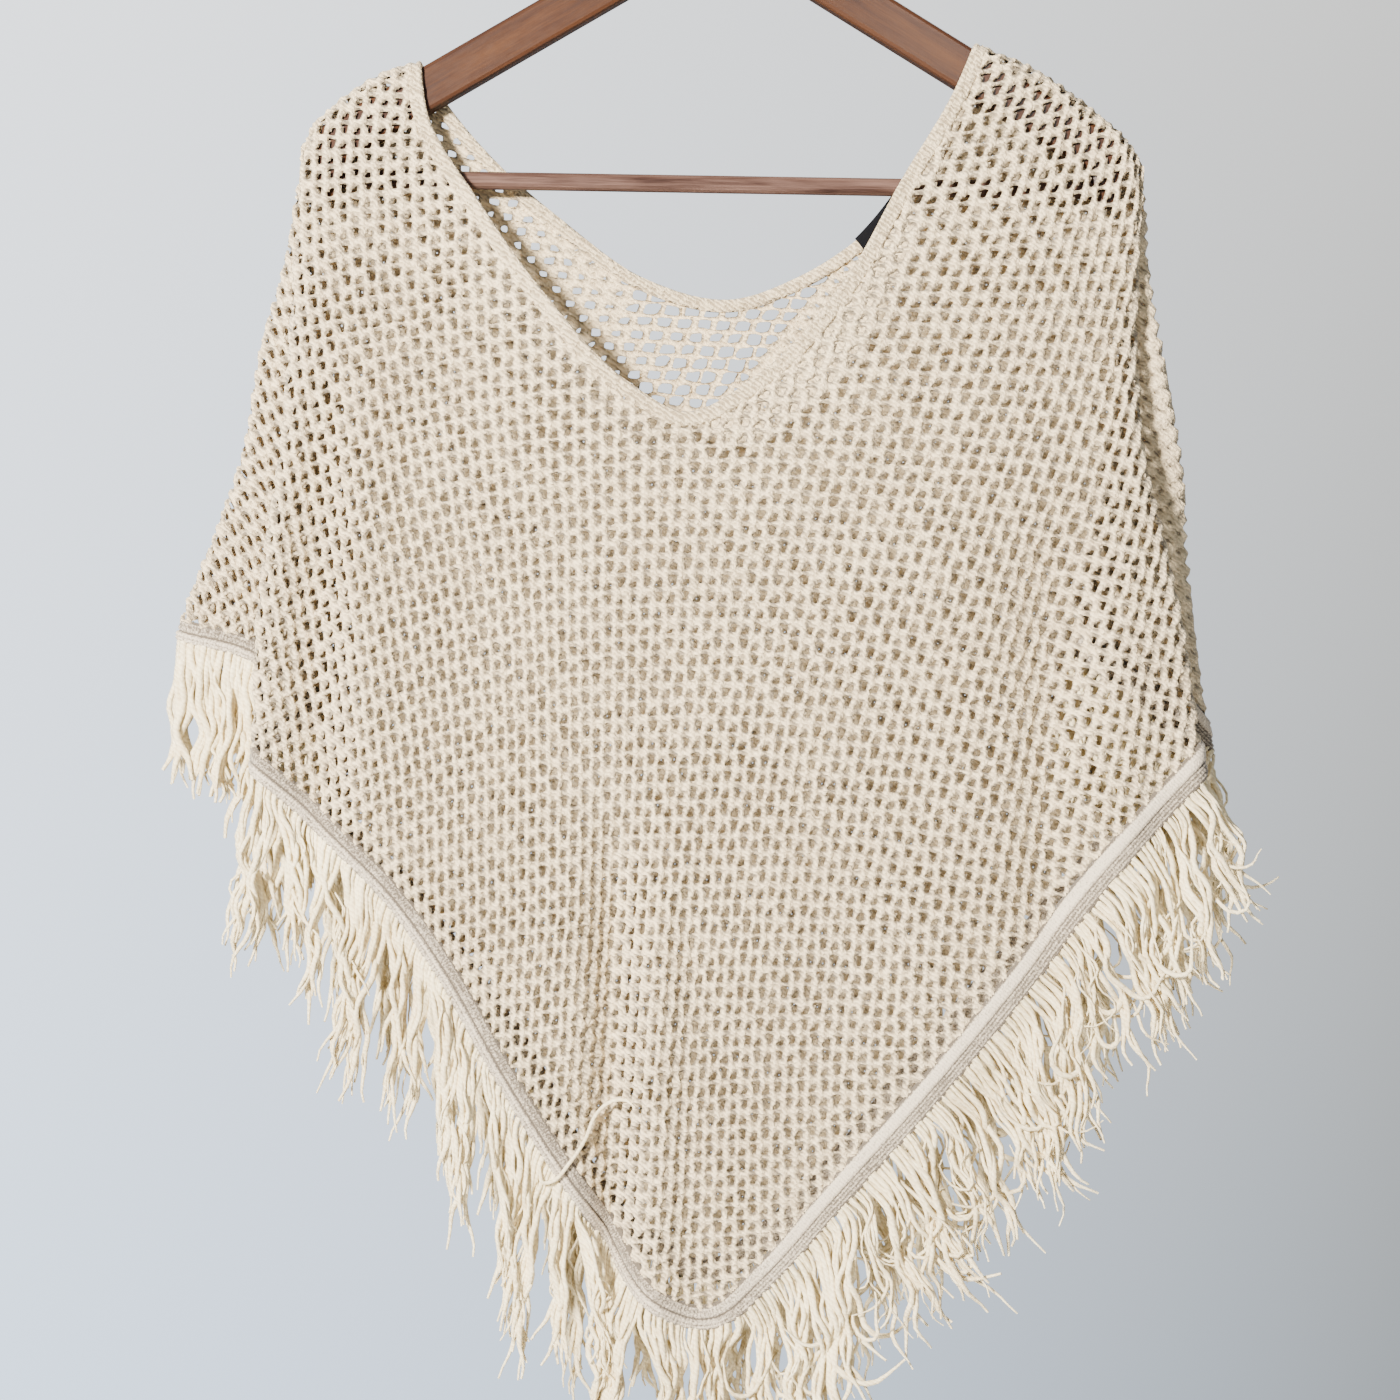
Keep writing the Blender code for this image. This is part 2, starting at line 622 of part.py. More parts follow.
def make_arms(collection, cutters, material):
    """The hanger's wooden arms, with sockets for the bar and the hook's shank."""
    curve = bpy.data.curves.new("hanger_outline", "CURVE")
    curve.dimensions = "2D"
    curve.fill_mode = "BOTH"
    curve.extrude = ARM_THICK / 2 * MM
    points = arm_outline()
    spline = curve.splines.new("POLY")
    spline.points.add(len(points) - 1)
    for point, (x, z) in zip(spline.points, points):
        point.co = (x * MM, z * MM, 0.0, 1.0)
    spline.use_cyclic_u = True
    outline = add_object("hanger_outline", curve, collection)
    outline.rotation_euler = (math.radians(90.0), 0.0, 0.0)
    bpy.context.view_layer.update()
    depsgraph = bpy.context.evaluated_depsgraph_get()
    mesh = bpy.data.meshes.new_from_object(outline.evaluated_get(depsgraph))
    mesh.name = "hanger_arms"
    mesh.transform(outline.matrix_world)
    bpy.data.objects.remove(outline)
    work = bmesh.new()
    work.from_mesh(mesh)
    bmesh.ops.remove_doubles(work, verts=work.verts, dist=0.00001)
    bmesh.ops.recalc_face_normals(work, faces=work.faces)
    work.to_mesh(mesh)
    work.free()
    arms = add_object("hanger_arms", mesh, collection, material)
    bevel = arms.modifiers.new("rounded edges", "BEVEL")
    bevel.width = ARM_BEVEL * MM
    bevel.segments = 2
    bevel.limit_method = "ANGLE"
    bevel.angle_limit = math.radians(60.0)
    bar_socket = make_rod(
        "bar_socket", BAR_DIAMETER / 2 + SOCKET_GAP, 2 * (BAR_HALF + SOCKET_GAP), cutters, None, 24)
    bar_socket.location = (0.0, 0.0, BAR_HEIGHT * MM)
    bar_socket.rotation_euler = (0.0, math.radians(90.0), 0.0)
    crown = ARM_TOP - ARM_SLOPE * ARM_CROWN
    shank_socket = make_rod(
        "shank_socket", HOOK_WIRE / 2 + SOCKET_GAP, 2 * (HOOK_SUNK + SOCKET_GAP), cutters, None, 16)
    shank_socket.location = (0.0, 0.0, crown * MM)
    for cutter in (bar_socket, shank_socket):
        cutter.hide_render = True
        cutter.display_type = "WIRE"
        cut = arms.modifiers.new(cutter.name, "BOOLEAN")
        cut.operation = "DIFFERENCE"
        cut.object = cutter
    return arms


def make_rod(name, radius, length, collection, material, sides):
    """Round rod along its own Z axis, centred."""
    mesh = bpy.data.meshes.new(name)
    work = bmesh.new()
    bmesh.ops.create_cone(
        work, cap_ends=True, segments=sides, radius1=radius * MM, radius2=radius * MM,
        depth=length * MM)
    work.to_mesh(mesh)
    work.free()
    mesh.shade_smooth()
    mesh.set_sharp_from_angle(angle=math.radians(40.0))
    return add_object(name, mesh, collection, material)


def hook_route():
    """Middle line of the hook's wire in the XZ plane, from the shank to the tip."""
    radius = HOOK_INNER + HOOK_WIRE / 2
    centre = -HOOK_INNER
    shank_foot = ARM_TOP - ARM_SLOPE * ARM_CROWN - HOOK_SUNK
    points = [(0.0, shank_foot), (0.0, (shank_foot + HOOK_SHANK_TOP) / 2), (0.0, HOOK_SHANK_TOP)]
    neck_height = centre - HOOK_SHANK_TOP
    for share in (0.25, 0.5, 0.75):
        x = hermite(0.0, 0.0, radius, 0.0, share)
        z = hermite(HOOK_SHANK_TOP, neck_height * 1.2, centre, neck_height * 1.2, share)
        points.append((x, z))
    for degrees in np.arange(0.0, HOOK_TIP_ANGLE + 1.0, 17.9):
        angle = math.radians(degrees)
        points.append((radius * math.cos(angle), centre + radius * math.sin(angle)))
    return points


def make_hook(collection, material):
    """The hanger's wire hook."""
    curve = bpy.data.curves.new("hanger_hook", "CURVE")
    curve.dimensions = "3D"
    curve.bevel_depth = HOOK_WIRE / 2 * MM
    curve.bevel_resolution = 2
    curve.use_fill_caps = True
    route = hook_route()
    spline = curve.splines.new("POLY")
    spline.points.add(len(route) - 1)
    for point, (x, z) in zip(spline.points, route):
        point.co = (x * MM, 0.0, z * MM, 1.0)
    return add_object("hanger_hook", curve, collection, material)


def make_cloth(collection, materials):
    """Panels, bands, fringe and label."""
    for name, panel in PANELS.items():
        make_sheet(name + "_panel", panel_grid(panel), PANEL_THICK, collection, materials["knit"])
        make_sheet("neck_band_" + name, neck_band_grid(panel), NECK_THICK, collection, materials["rib"])
        make_sheet("hem_band_" + name, hem_band_grid(panel), HEM_THICK, collection, materials["rib"])
        make_sheet("fringe_" + name, fringe_grid(panel), FRINGE_THICK, collection, materials["yarn"])
    make_sheet("label", label_grid(PANELS["back"]), LABEL_THICK, collection, materials["label"])


def make_hanger(collection, cutters, materials):
    """Arms, bar and hook."""
    make_arms(collection, cutters, materials["wood"])
    bar = make_rod("hanger_bar", BAR_DIAMETER / 2, 2 * BAR_HALF, collection, materials["bar"], 16)
    bar.location = (0.0, 0.0, BAR_HEIGHT * MM)
    bar.rotation_euler = (0.0, math.radians(90.0), 0.0)
    make_hook(collection, materials["steel"])


def main():
    for thing in list(bpy.data.objects):
        bpy.data.objects.remove(thing)
    collection = make_collection(COLLECTION)
    cutters = make_collection(CUTTERS)
    materials = {
        "knit": make_material("knit", (0.75, 0.66, 0.51), 0.9),
        "rib": make_material("rib", (0.72, 0.63, 0.53), 0.9),
        "yarn": make_material("yarn", (0.80, 0.74, 0.58), 0.9),
        "label": make_material("label", (0.02, 0.02, 0.03), 0.7),
        "wood": make_material("wood", (0.22, 0.11, 0.07), 0.35),
        "bar": make_material("bar", (0.26, 0.14, 0.10), 0.35),
        "steel": make_material("steel", (0.62, 0.62, 0.62), 0.25, 1.0),
    }
    make_cloth(collection, materials)
    make_hanger(collection, cutters, materials)


main()
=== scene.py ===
import math

import bpy
import numpy as np
from bpy.props import FloatProperty, FloatVectorProperty, PointerProperty
from mathutils import Matrix, Vector


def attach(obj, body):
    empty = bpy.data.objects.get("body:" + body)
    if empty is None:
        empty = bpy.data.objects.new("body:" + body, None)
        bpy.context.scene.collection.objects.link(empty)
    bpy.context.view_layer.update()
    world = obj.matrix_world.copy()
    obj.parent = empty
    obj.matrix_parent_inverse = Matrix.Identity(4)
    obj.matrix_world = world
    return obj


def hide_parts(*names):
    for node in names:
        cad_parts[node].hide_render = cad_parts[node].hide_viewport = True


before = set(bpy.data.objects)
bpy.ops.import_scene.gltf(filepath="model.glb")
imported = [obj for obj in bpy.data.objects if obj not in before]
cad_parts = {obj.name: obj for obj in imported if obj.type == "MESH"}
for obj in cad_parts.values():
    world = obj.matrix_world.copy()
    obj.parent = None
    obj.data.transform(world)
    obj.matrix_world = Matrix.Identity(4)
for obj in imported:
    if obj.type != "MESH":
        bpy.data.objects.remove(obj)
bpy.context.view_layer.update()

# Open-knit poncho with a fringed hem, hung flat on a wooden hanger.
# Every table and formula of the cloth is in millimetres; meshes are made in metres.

bl_info = {
    "name": "Knit Poncho on a Hanger",
    "version": (1, 0, 0),
    "blender": (4, 5, 0),
    "location": "View3D > Sidebar > Poncho",
    "description": "Builds a fringed open-knit poncho on the packed hanger",
    "category": "Add Mesh",
}

MM = 0.001
LEFT, RIGHT = -1, 1
FRONT, BACK = -1, 1

# ---------------------------------------------------------------- drape

ARM_TOP = -74.0
ARM_SLOPE = 0.6
CLOTH_LIFT = 2.8
PUFF = 6.5
NECK_LEFT = 158.0
NECK_RIGHT = 134.0
SHOULDER_END = 214.0
SIDE_TOP = -214.0
SIDE_LEAN = 26.0
BEND_RADIUS = 8.4
BEND_DROP = 5.5
BEND_ARC = 11.1           # length of cloth in the turn over an arm
BELLY_RUN = 230.0
EDGE_RUN = 10.0
EDGE_DEPTH = 9.0
RIDGE_RUN = 110.0
TURN_RADIUS = 4.0
SEAM_HALF_GAP = 0.35
LINE_STEP = 1.6           # between the points of a line on the cloth


def table(names, rows):
    """Columns of a table by name."""
    return dict(zip(names, np.array(rows, float).T))


# How far to the side the ridges, valleys and seam of a folded side lie, at each height.
SIDE_LINES = {
    LEFT: table(("height", "front_ridge", "front_valley", "seam", "back_valley", "back_ridge"), (
        (-560, 240, 212, 290, 216, 237),
        (-515, 239, 210, 287, 214, 236),
        (-465, 238, 208, 281, 212, 233),
        (-415, 233, 209, 263, 212, 228),
        (-375, 228, 211, 250, 213, 224),
        (-320, 225, 214, 241, 215, 221),
        (-264, 222, 218, 227, 218, 219),
        (-235, 220, 220, 223, 220, 219),
        (-214, 218, 219, 221, 219, 217),
    )),
    RIGHT: table(("height", "front_ridge", "seam", "back_ridge"), (
        (-560, 266, 186, 277),
        (-515, 256, 188, 267),
        (-465, 248, 192, 259),
        (-415, 237, 200, 253),
        (-375, 227, 206, 250),
        (-320, 222, 213, 239),
        (-264, 222, 221, 229),
        (-235, 221, 225, 227),
        (-214, 220, 224.5, 224),
    )),
}
VALLEY_SHARE = 0.4
SEAM_Y = {LEFT: 4.0, RIGHT: -1.0}

FOLD_COLUMNS = ("top_x", "top_z", "foot_x", "foot_z", "half_width", "rise")
# What differs between the two panels.
PANEL_SHAPES = {
    "front": dict(
        face=FRONT, belly=27.0, ridge="front_ridge", valley="front_valley", valley_y=-7.0,
        neck_width=8.0,
        neck=((-154, -193), (-126, -240), (-88, -292), (-46, -335), (-16, -350.5),
              (22, -330.5), (66, -281), (97, -224), (124, -176)),
        hem=((-239, -528), (-200, -562), (-157, -604), (-135, -634), (-97, -698),
             (-45, -775), (-20, -808), (3, -817), (26, -797), (62, -755), (117, -691),
             (166, -629), (208, -572), (256, -519)),
        left_fold_hem=((0.0, -528), (0.4, -500), (0.7, -471), (1.0, -462)),
        right_fold_hem=((0.0, -519), (0.6, -472), (1.0, -458)),
        folds=((-206, -320, -207, -560, 15, -10.0), (-182, -300, -178, -560, 16, 4.5),
               (-25, -570, -23, -840, 12, 7.5), (-51, -540, -47, -820, 12, -16.0),
               (176, -380, 178, -620, 17, -10.0), (212, -380, 216, -580, 15, 4.5)),
    ),
    "back": dict(
        face=BACK, belly=24.0, ridge="back_ridge", valley="back_valley", valley_y=12.0,
        neck_width=7.0,
        neck=((-144, -187), (-115, -219), (-82, -246), (-38, -275), (9, -285),
              (41, -274), (73, -254), (102, -223), (126, -180)),
        hem=((-236, -522), (-157, -603), (-97, -682), (-25, -788), (3, -803), (30, -784),
             (117, -682), (208, -574), (266, -508)),
        left_fold_hem=((0.0, -522), (0.4, -499), (0.7, -471), (1.0, -462)),
        right_fold_hem=((0.0, -508), (0.6, -470), (1.0, -458)),
        folds=((-150, -300, -140, -620, 26, 4.0), (-60, -420, -40, -800, 24, -4.0),
               (30, -380, 22, -790, 26, 5.0), (120, -300, 110, -680, 24, -4.0),
               (200, -330, 205, -570, 20, 4.0)),
    ),
}

# ---------------------------------------------------------------- numbers


def smooth(value):
    """Ease from 0 to 1."""
    value = np.clip(value, 0.0, 1.0)
    return value * value * (3.0 - 2.0 * value)


def cubic(start, start_slope, end, end_slope, share):
    """Cubic between two values with given slopes."""
    square, cube = share ** 2, share ** 3
    return (start * (2 * cube - 3 * square + 1) + start_slope * (cube - 2 * square + share)
            + end * (3 * square - 2 * cube) + end_slope * (cube - square))


def read(places, values, place):
    """Smooth curve through values at rising places, flat beyond both ends."""
    places, values = np.asarray(places, float), np.asarray(values, float)
    slopes = np.gradient(values, places)
    place = np.clip(place, places[0], places[-1])
    index = np.clip(np.searchsorted(places, place) - 1, 0, len(places) - 2)
    span = places[index + 1] - places[index]
    return cubic(values[index], slopes[index] * span, values[index + 1],
                 slopes[index + 1] * span, (place - places[index]) / span)


def side_line(side, name, z):
    """How far to the side a ridge, valley or seam lies at a height."""
    lines = SIDE_LINES[side]
    return read(lines["height"], lines[name], z)


def length_along(line):
    return np.r_[0.0, np.cumsum(np.linalg.norm(np.diff(line, axis=0), axis=1))]


def through(points, per_span=24):
    """Dense smooth line through a short list of points."""
    points = np.asarray(points, float)
    steps = length_along(points)
    dense = np.linspace(0.0, steps[-1], per_span * (len(points) - 1) + 1)
    return np.stack([read(steps, points[:, axis], dense) for axis in range(points.shape[1])], 1)


def resample(line, step):
    """The line's points at even steps."""
    along = length_along(line)
    even = np.linspace(0.0, along[-1], int(along[-1] / step) + 2)
    return np.stack([np.interp(even, along, line[:, axis]) for axis in range(line.shape[1])], 1)


def soften(line, passes):
    """Evens out the corners of a line, its ends kept."""
    line = line.copy()
    for _ in range(passes):
        line[1:-1] = 0.25 * line[:-2] + 0.5 * line[1:-1] + 0.25 * line[2:]
    return line


def between(values, row, column):
    """Values between the entries of a table, at rows and columns that may be fractions."""
    i = np.minimum(row.astype(int), values.shape[0] - 2)
    j = np.minimum(column.astype(int), values.shape[1] - 2)
    down, part = row - i, column - j
    if values.ndim == 3:
        down, part = down[..., None], part[..., None]
    upper = values[i, j] * (1 - part) + values[i, j + 1] * part
    lower = values[i + 1, j] * (1 - part) + values[i + 1, j + 1] * part
    return upper * (1 - down) + lower * down


def wander(across, down, size, seed, cells=64):
    """Smooth random values from -1 to 1, which change over the given size."""
    values = np.random.default_rng(seed).uniform(-1.0, 1.0, (cells, cells))
    places = [np.asarray(place, float) / size for place in (down, across)]
    row, column = (np.floor(place) % cells + smooth(place - np.floor(place)) for place in places)
    return between(np.pad(values, (0, 1), "wrap"), row, column)


def unit(vectors):
    return vectors / np.maximum(np.linalg.norm(vectors, axis=-1, keepdims=True), 1e-9)


# ---------------------------------------------------------------- the hanging cloth


def shoulder_height(x):
    """Middle of the cloth where it lies on an arm."""
    x = np.asarray(x, float)
    neck = np.where(x < 0, NECK_LEFT, NECK_RIGHT)
    share = np.clip((np.abs(x) - neck) / (SHOULDER_END - neck), 0.0, 1.0)
    return ARM_TOP - ARM_SLOPE * np.abs(x) + CLOTH_LIFT + PUFF * np.sin(math.pi * share)


def bend_out(drop):
    return np.sin(np.arccos(1.0 - np.clip(drop, 0.0, BEND_DROP) / BEND_DROP))


def cloth_to_height(top, along):
    """Height of a point from its height measured along the cloth."""
    below = np.maximum(top + BEND_ARC - BEND_DROP - along, 0.0)
    turn = np.clip(below / BEND_ARC, 0.0, 1.0) * math.pi / 2
    return top - np.where(below < BEND_ARC, BEND_DROP * (1.0 - np.cos(turn)),
                          below - BEND_ARC + BEND_DROP)


def height_to_cloth(top, height):
    """The reverse of cloth_to_height."""
    drop = np.maximum(top - height, 0.0)
    turn = np.arccos(1.0 - np.clip(drop, 0.0, BEND_DROP) / BEND_DROP)
    return np.where(drop < BEND_DROP, top + BEND_ARC - BEND_DROP - turn / (math.pi / 2) * BEND_ARC,
                    height)


class HangingPanel:
    """One panel's surface. A place on it is its distance across the cloth from the
    middle, folds included, and its height measured along the cloth."""

    # Heights and shares at which the widths of the folded sides are tabled.
    FOLD_STEP = 6.0
    FOLD_TOP, FOLD_FOOT = -196.0, -780.0
    FOLD_HEIGHTS = np.arange(FOLD_TOP, FOLD_FOOT, -FOLD_STEP)
    FOLD_STEPS = 97
    FOLD_SHARES = np.linspace(0.0, 1.0, FOLD_STEPS)
    SWAY, SWAY_SIZE = 1.1, 46.0       # slow unevenness of the cloth's depth
    GROW_DROP = 200.0                 # height in which a side's folds reach their full depth
    NUDGE = 0.7                       # step along the cloth for finding its direction
    HEM_PASSES = 14
    ON_ARM_DROP = 18.0                # below this, the neck edge is clear of the arm

    def __init__(self, name):
        shape = PANEL_SHAPES[name]
        self.face = shape["face"]
        self.shape = shape
        self.neck_width = shape["neck_width"]
        self.folds = [dict(zip(FOLD_COLUMNS, row)) for row in shape["folds"]]
        self.hem_line = through(shape["hem"])
        self.fold_tables = {side: self._fold_table(side) for side in (LEFT, RIGHT)}
        self.hem_path = self._hem_path()

    def ridge(self, side, z):
        return side_line(side, self.shape["ridge"], z)

    def ridge_column(self, side, z):
        """The ridge, drawn in to the end of the arm at its top."""
        lean = smooth((shoulder_height(SHOULDER_END * side) - z) / SIDE_LEAN)
        return SHOULDER_END + (self.ridge(side, z) - SHOULDER_END) * lean

    def depth(self, x, z):
        """Distance of the cloth from the hanger's middle plane, inside the ridges."""
        drop = np.maximum(shoulder_height(x) - z, 0.0)
        deep = BEND_RADIUS * bend_out(drop)
        deep = deep + (self.shape["belly"] - BEND_RADIUS) * smooth((drop - BEND_DROP) / BELLY_RUN)
        ridge = np.where(x < 0, self.ridge(LEFT, z), self.ridge(RIGHT, z))
        edge = np.clip(1.0 - (ridge - np.abs(x)) / EDGE_RUN, 0.0, 1.0)
        rounding = EDGE_DEPTH * (1.0 - np.sqrt(1.0 - edge * edge))
        deep = deep - rounding * smooth((drop - BEND_DROP) / RIDGE_RUN)
        for fold in self.folds:
            share = (fold["top_z"] - z) / (fold["top_z"] - fold["foot_z"])
            middle = fold["top_x"] + (fold["foot_x"] - fold["top_x"]) * share
            ends = smooth(share * 3.0) * smooth((1.15 - share) * 4.0)
            deep = deep + fold["rise"] * ends * np.exp(-(((x - middle) / fold["half_width"]) ** 2))
        sway = self.SWAY * wander(x + 300, z, self.SWAY_SIZE, 5 + self.face)
        deep = deep + sway * smooth((drop - 20.0) / 60.0)
        return np.maximum(deep, SEAM_HALF_GAP)

    def fold_xyz(self, side, share, z):
        """Point of a folded side at a share of the way from its ridge to its seam."""
        share, z = np.broadcast_arrays(np.asarray(share, float), np.asarray(z, float))
        grow = smooth((SIDE_TOP - z) / self.GROW_DROP)
        gap = self.face * SEAM_HALF_GAP
        ridge_y = self.face * self.depth(side * self.ridge_column(side, z), z)
        turns = [(0.0, side * self.ridge(side, z), ridge_y),
                 (1.0, side * side_line(side, "seam", z), SEAM_Y[side] * grow + gap)]
        if side == LEFT:
            valley_x = -side_line(side, self.shape["valley"], z)
            valley_y = self.shape["valley_y"] * (0.65 + 0.35 * grow)
            turns.insert(1, (VALLEY_SHARE, valley_x, valley_y))
        x, y = np.zeros(share.shape), np.zeros(share.shape)
        for before, after in zip(turns, turns[1:]):
            here = (share >= before[0]) & (share <= after[0])
            part = np.clip((share - before[0]) / (after[0] - before[0]), 0.0, 1.0)
            swing = np.maximum(np.sqrt(6.0 * TURN_RADIUS * np.abs(after[1] - before[1])),
                               np.abs(after[2] - before[2]))
            slope = -self.face * swing
            x = np.where(here, cubic(before[1], 0.0, after[1], 0.0, part), x)
            y = np.where(here, cubic(before[2], slope, after[2], slope, part), y)
        top_x, top_z = self.fan_top(side, share)
        lean = smooth((top_z - z) / SIDE_LEAN)
        turned = 1.0 + (bend_out(top_z - z) - 1.0) * smooth(share / 0.15)
        return np.stack([top_x + (x - top_x) * lean, gap + (y - gap) * turned, z], -1)

    def fan_top(self, side, share):
        """Start of a folded side's column, on the seam round the end of the arm."""
        start = float(shoulder_height(side * SHOULDER_END))
        seam = side_line(side, "seam", SIDE_TOP)
        x = side * (SHOULDER_END + (seam - SHOULDER_END) * share)
        return x, start + (SIDE_TOP - start) * share

    def _fold_table(self, side):
        """At each height: width of the fold, share across it at each step of the width, and
        distance along it at each step of the share."""
        heights = self.FOLD_HEIGHTS[:, None]
        points = self.fold_xyz(side, self.FOLD_SHARES[None, :], heights)
        steps = np.linalg.norm(np.diff(points[..., :2], axis=1), axis=2)
        along = np.concatenate([np.zeros((len(heights), 1)), np.cumsum(steps, axis=1)], 1)
        shares = [np.interp(self.FOLD_SHARES * row[-1], row, self.FOLD_SHARES) for row in along]
        return dict(width=along[:, -1], shares=np.stack(shares), along=along)

    def fold_width(self, side, z):
        return np.interp(-z, -self.FOLD_HEIGHTS, self.fold_tables[side]["width"])

    def fold_level(self, z):
        """Row of the fold tables at a height."""
        return np.clip((self.FOLD_TOP - z) / self.FOLD_STEP, 0.0, len(self.FOLD_HEIGHTS) - 1.001)

    def fold_share(self, side, beyond, z):
        """Share across the fold at a distance beyond the ridge."""
        step = np.clip(beyond / self.fold_width(side, z), 0.0, 1.0) * (self.FOLD_STEPS - 1)
        return between(self.fold_tables[side]["shares"], self.fold_level(z), step)

    def place(self, across, along):
        """Points of the cloth."""
        across, along = np.broadcast_arrays(np.asarray(across, float), np.asarray(along, float))
        shape = across.shape
        across, along = across.ravel(), along.ravel()
        top = shoulder_height(np.clip(across, -SHOULDER_END, SHOULDER_END))
        z = cloth_to_height(top, along)
        points = np.stack([across, self.face * self.depth(across, z), z], 1)
        for side in (LEFT, RIGHT):
            beyond = across * side - self.ridge_column(side, z)
            folded = np.flatnonzero(beyond > 0.0)
            if not len(folded):
                continue
            z_fold, wide = z[folded], beyond[folded]
            for _ in range(2):
                share = self.fold_share(side, wide, z_fold)
                z_fold = cloth_to_height(self.fan_top(side, share)[1], along[folded])
                wide = across[folded] * side - self.ridge_column(side, z_fold)
            share = self.fold_share(side, np.maximum(wide, 0.0), z_fold)
            points[folded] = self.fold_xyz(side, share, z_fold)
        return points.reshape(*shape, 3)

    def place_with_normals(self, across, along):
        """Points of the cloth and the direction out of its outer face."""
        across, along = np.broadcast_arrays(np.asarray(across, float), np.asarray(along, float))
        sign = np.where(across < 0, -1.0, 1.0)
        here = self.place(across, along)
        sideways = (here - self.place(across - sign * self.NUDGE, along)) * sign[..., None]
        upwards = here - self.place(across, along - self.NUDGE)
        return here, unit(np.cross(sideways, upwards)) * -self.face

    def widest(self, side, z):
        """Distance across the cloth at the side seam."""
        return self.ridge_column(side, z) + self.fold_width(side, z)

    def _hem_path(self):
        """Upper edge of the hem band, across and along the cloth, from the left seam."""
        ends = {}
        for side, key in ((LEFT, "left_fold_hem"), (RIGHT, "right_fold_hem")):
            shares, heights = np.array(self.shape[key]).T
            share = np.linspace(0.0, 1.0, 60)
            z = read(shares, heights, share)
            rows = self.fold_tables[side]["along"][self.fold_level(z).astype(int)]
            beyond = np.array([np.interp(s, self.FOLD_SHARES, row) for s, row in zip(share, rows)])
            ends[side] = np.stack([side * (self.ridge_column(side, z) + beyond), z], 1)
        path = np.concatenate([ends[LEFT][::-1], self.hem_line[1:-1], ends[RIGHT]])
        return resample(soften(resample(path, 2.0), self.HEM_PASSES), LINE_STEP)

    def neck_line(self, out=0.0):
        """The neck edge moved outwards, as x and height, from the left seam to the right."""
        left = (-NECK_LEFT, float(shoulder_height(-NECK_LEFT)))
        right = (NECK_RIGHT, float(shoulder_height(NECK_RIGHT)))
        line = resample(through([left, *self.shape["neck"], right]), LINE_STEP)
        tangent = unit(np.gradient(line, axis=0))
        normal = np.stack([tangent[:, 1], -tangent[:, 0]], 1)
        drop = shoulder_height(line[:, 0]) - line[:, 1]
        on_arm = (1.0 - smooth(drop / self.ON_ARM_DROP))[:, None]
        along_arm = unit(np.stack([np.sign(line[:, 0]), -ARM_SLOPE * np.ones(len(line))], 1))
        line = line + (normal * (1.0 - on_arm) + along_arm * on_arm) * out
        top = shoulder_height(line[:, 0])
        return np.stack([line[:, 0], height_to_cloth(top, line[:, 1])], 1)


# ---------------------------------------------------------------- the knit

# How the knit hangs on the cloth: numbers of openings across and of rows down, as sums of
# powers of the place, which is measured from the middle in these lengths.
KNIT_REACH = (250.0, 300.0)
KNIT_MIDDLE = -450.0
KNIT_TERMS = (
    # power_across, power_up, pairs, rows
    (0, 1, -1.814, -35.432),
    (0, 2, -0.061, -2.705),
    (0, 3, -0.255, -2.517),
    (0, 4, -0.396, -0.046),
    (1, 0, 18.833, 0.425),
    (1, 1, -9.015, 1.013),
    (1, 2, -2.154, 2.492),
    (1, 3, 3.518, -0.648),
    (2, 0, -2.051, -5.172),
    (2, 1, 2.083, 2.829),
    (2, 2, -0.830, 7.545),
    (3, 0, 0.869, 1.551),
    (3, 1, 4.317, -1.132),
    (4, 0, 1.077, -0.247),
)
KNIT_LIMITS = ((-0.96, 0.92), (-1.22, 1.0))


def knit_count(across, along, mirror=1):
    """Pairs and rows counted to a place of the cloth, and their change with the place."""
    a = np.asarray(across, float) * mirror / KNIT_REACH[0]
    b = (np.asarray(along, float) - KNIT_MIDDLE) / KNIT_REACH[1]
    near_a, near_b = np.clip(a, *KNIT_LIMITS[0]), np.clip(b, *KNIT_LIMITS[1])
    counts = np.zeros((2, *a.shape))
    by_a, by_b = np.zeros_like(counts), np.zeros_like(counts)
    for i, j, pairs, rows in KNIT_TERMS:
        weight = np.array((pairs, rows)).reshape(2, *[1] * a.ndim)
        counts += weight * near_a ** i * near_b ** j
        if i:
            by_a += weight * i * near_a ** (i - 1) * near_b ** j
        if j:
            by_b += weight * j * near_a ** i * near_b ** (j - 1)
    counts += by_a * (a - near_a) + by_b * (b - near_b)
    counts[0] *= mirror
    by_a[0] *= mirror
    by_b[0] *= mirror
    return counts, by_a * mirror / KNIT_REACH[0], by_b / KNIT_REACH[1]


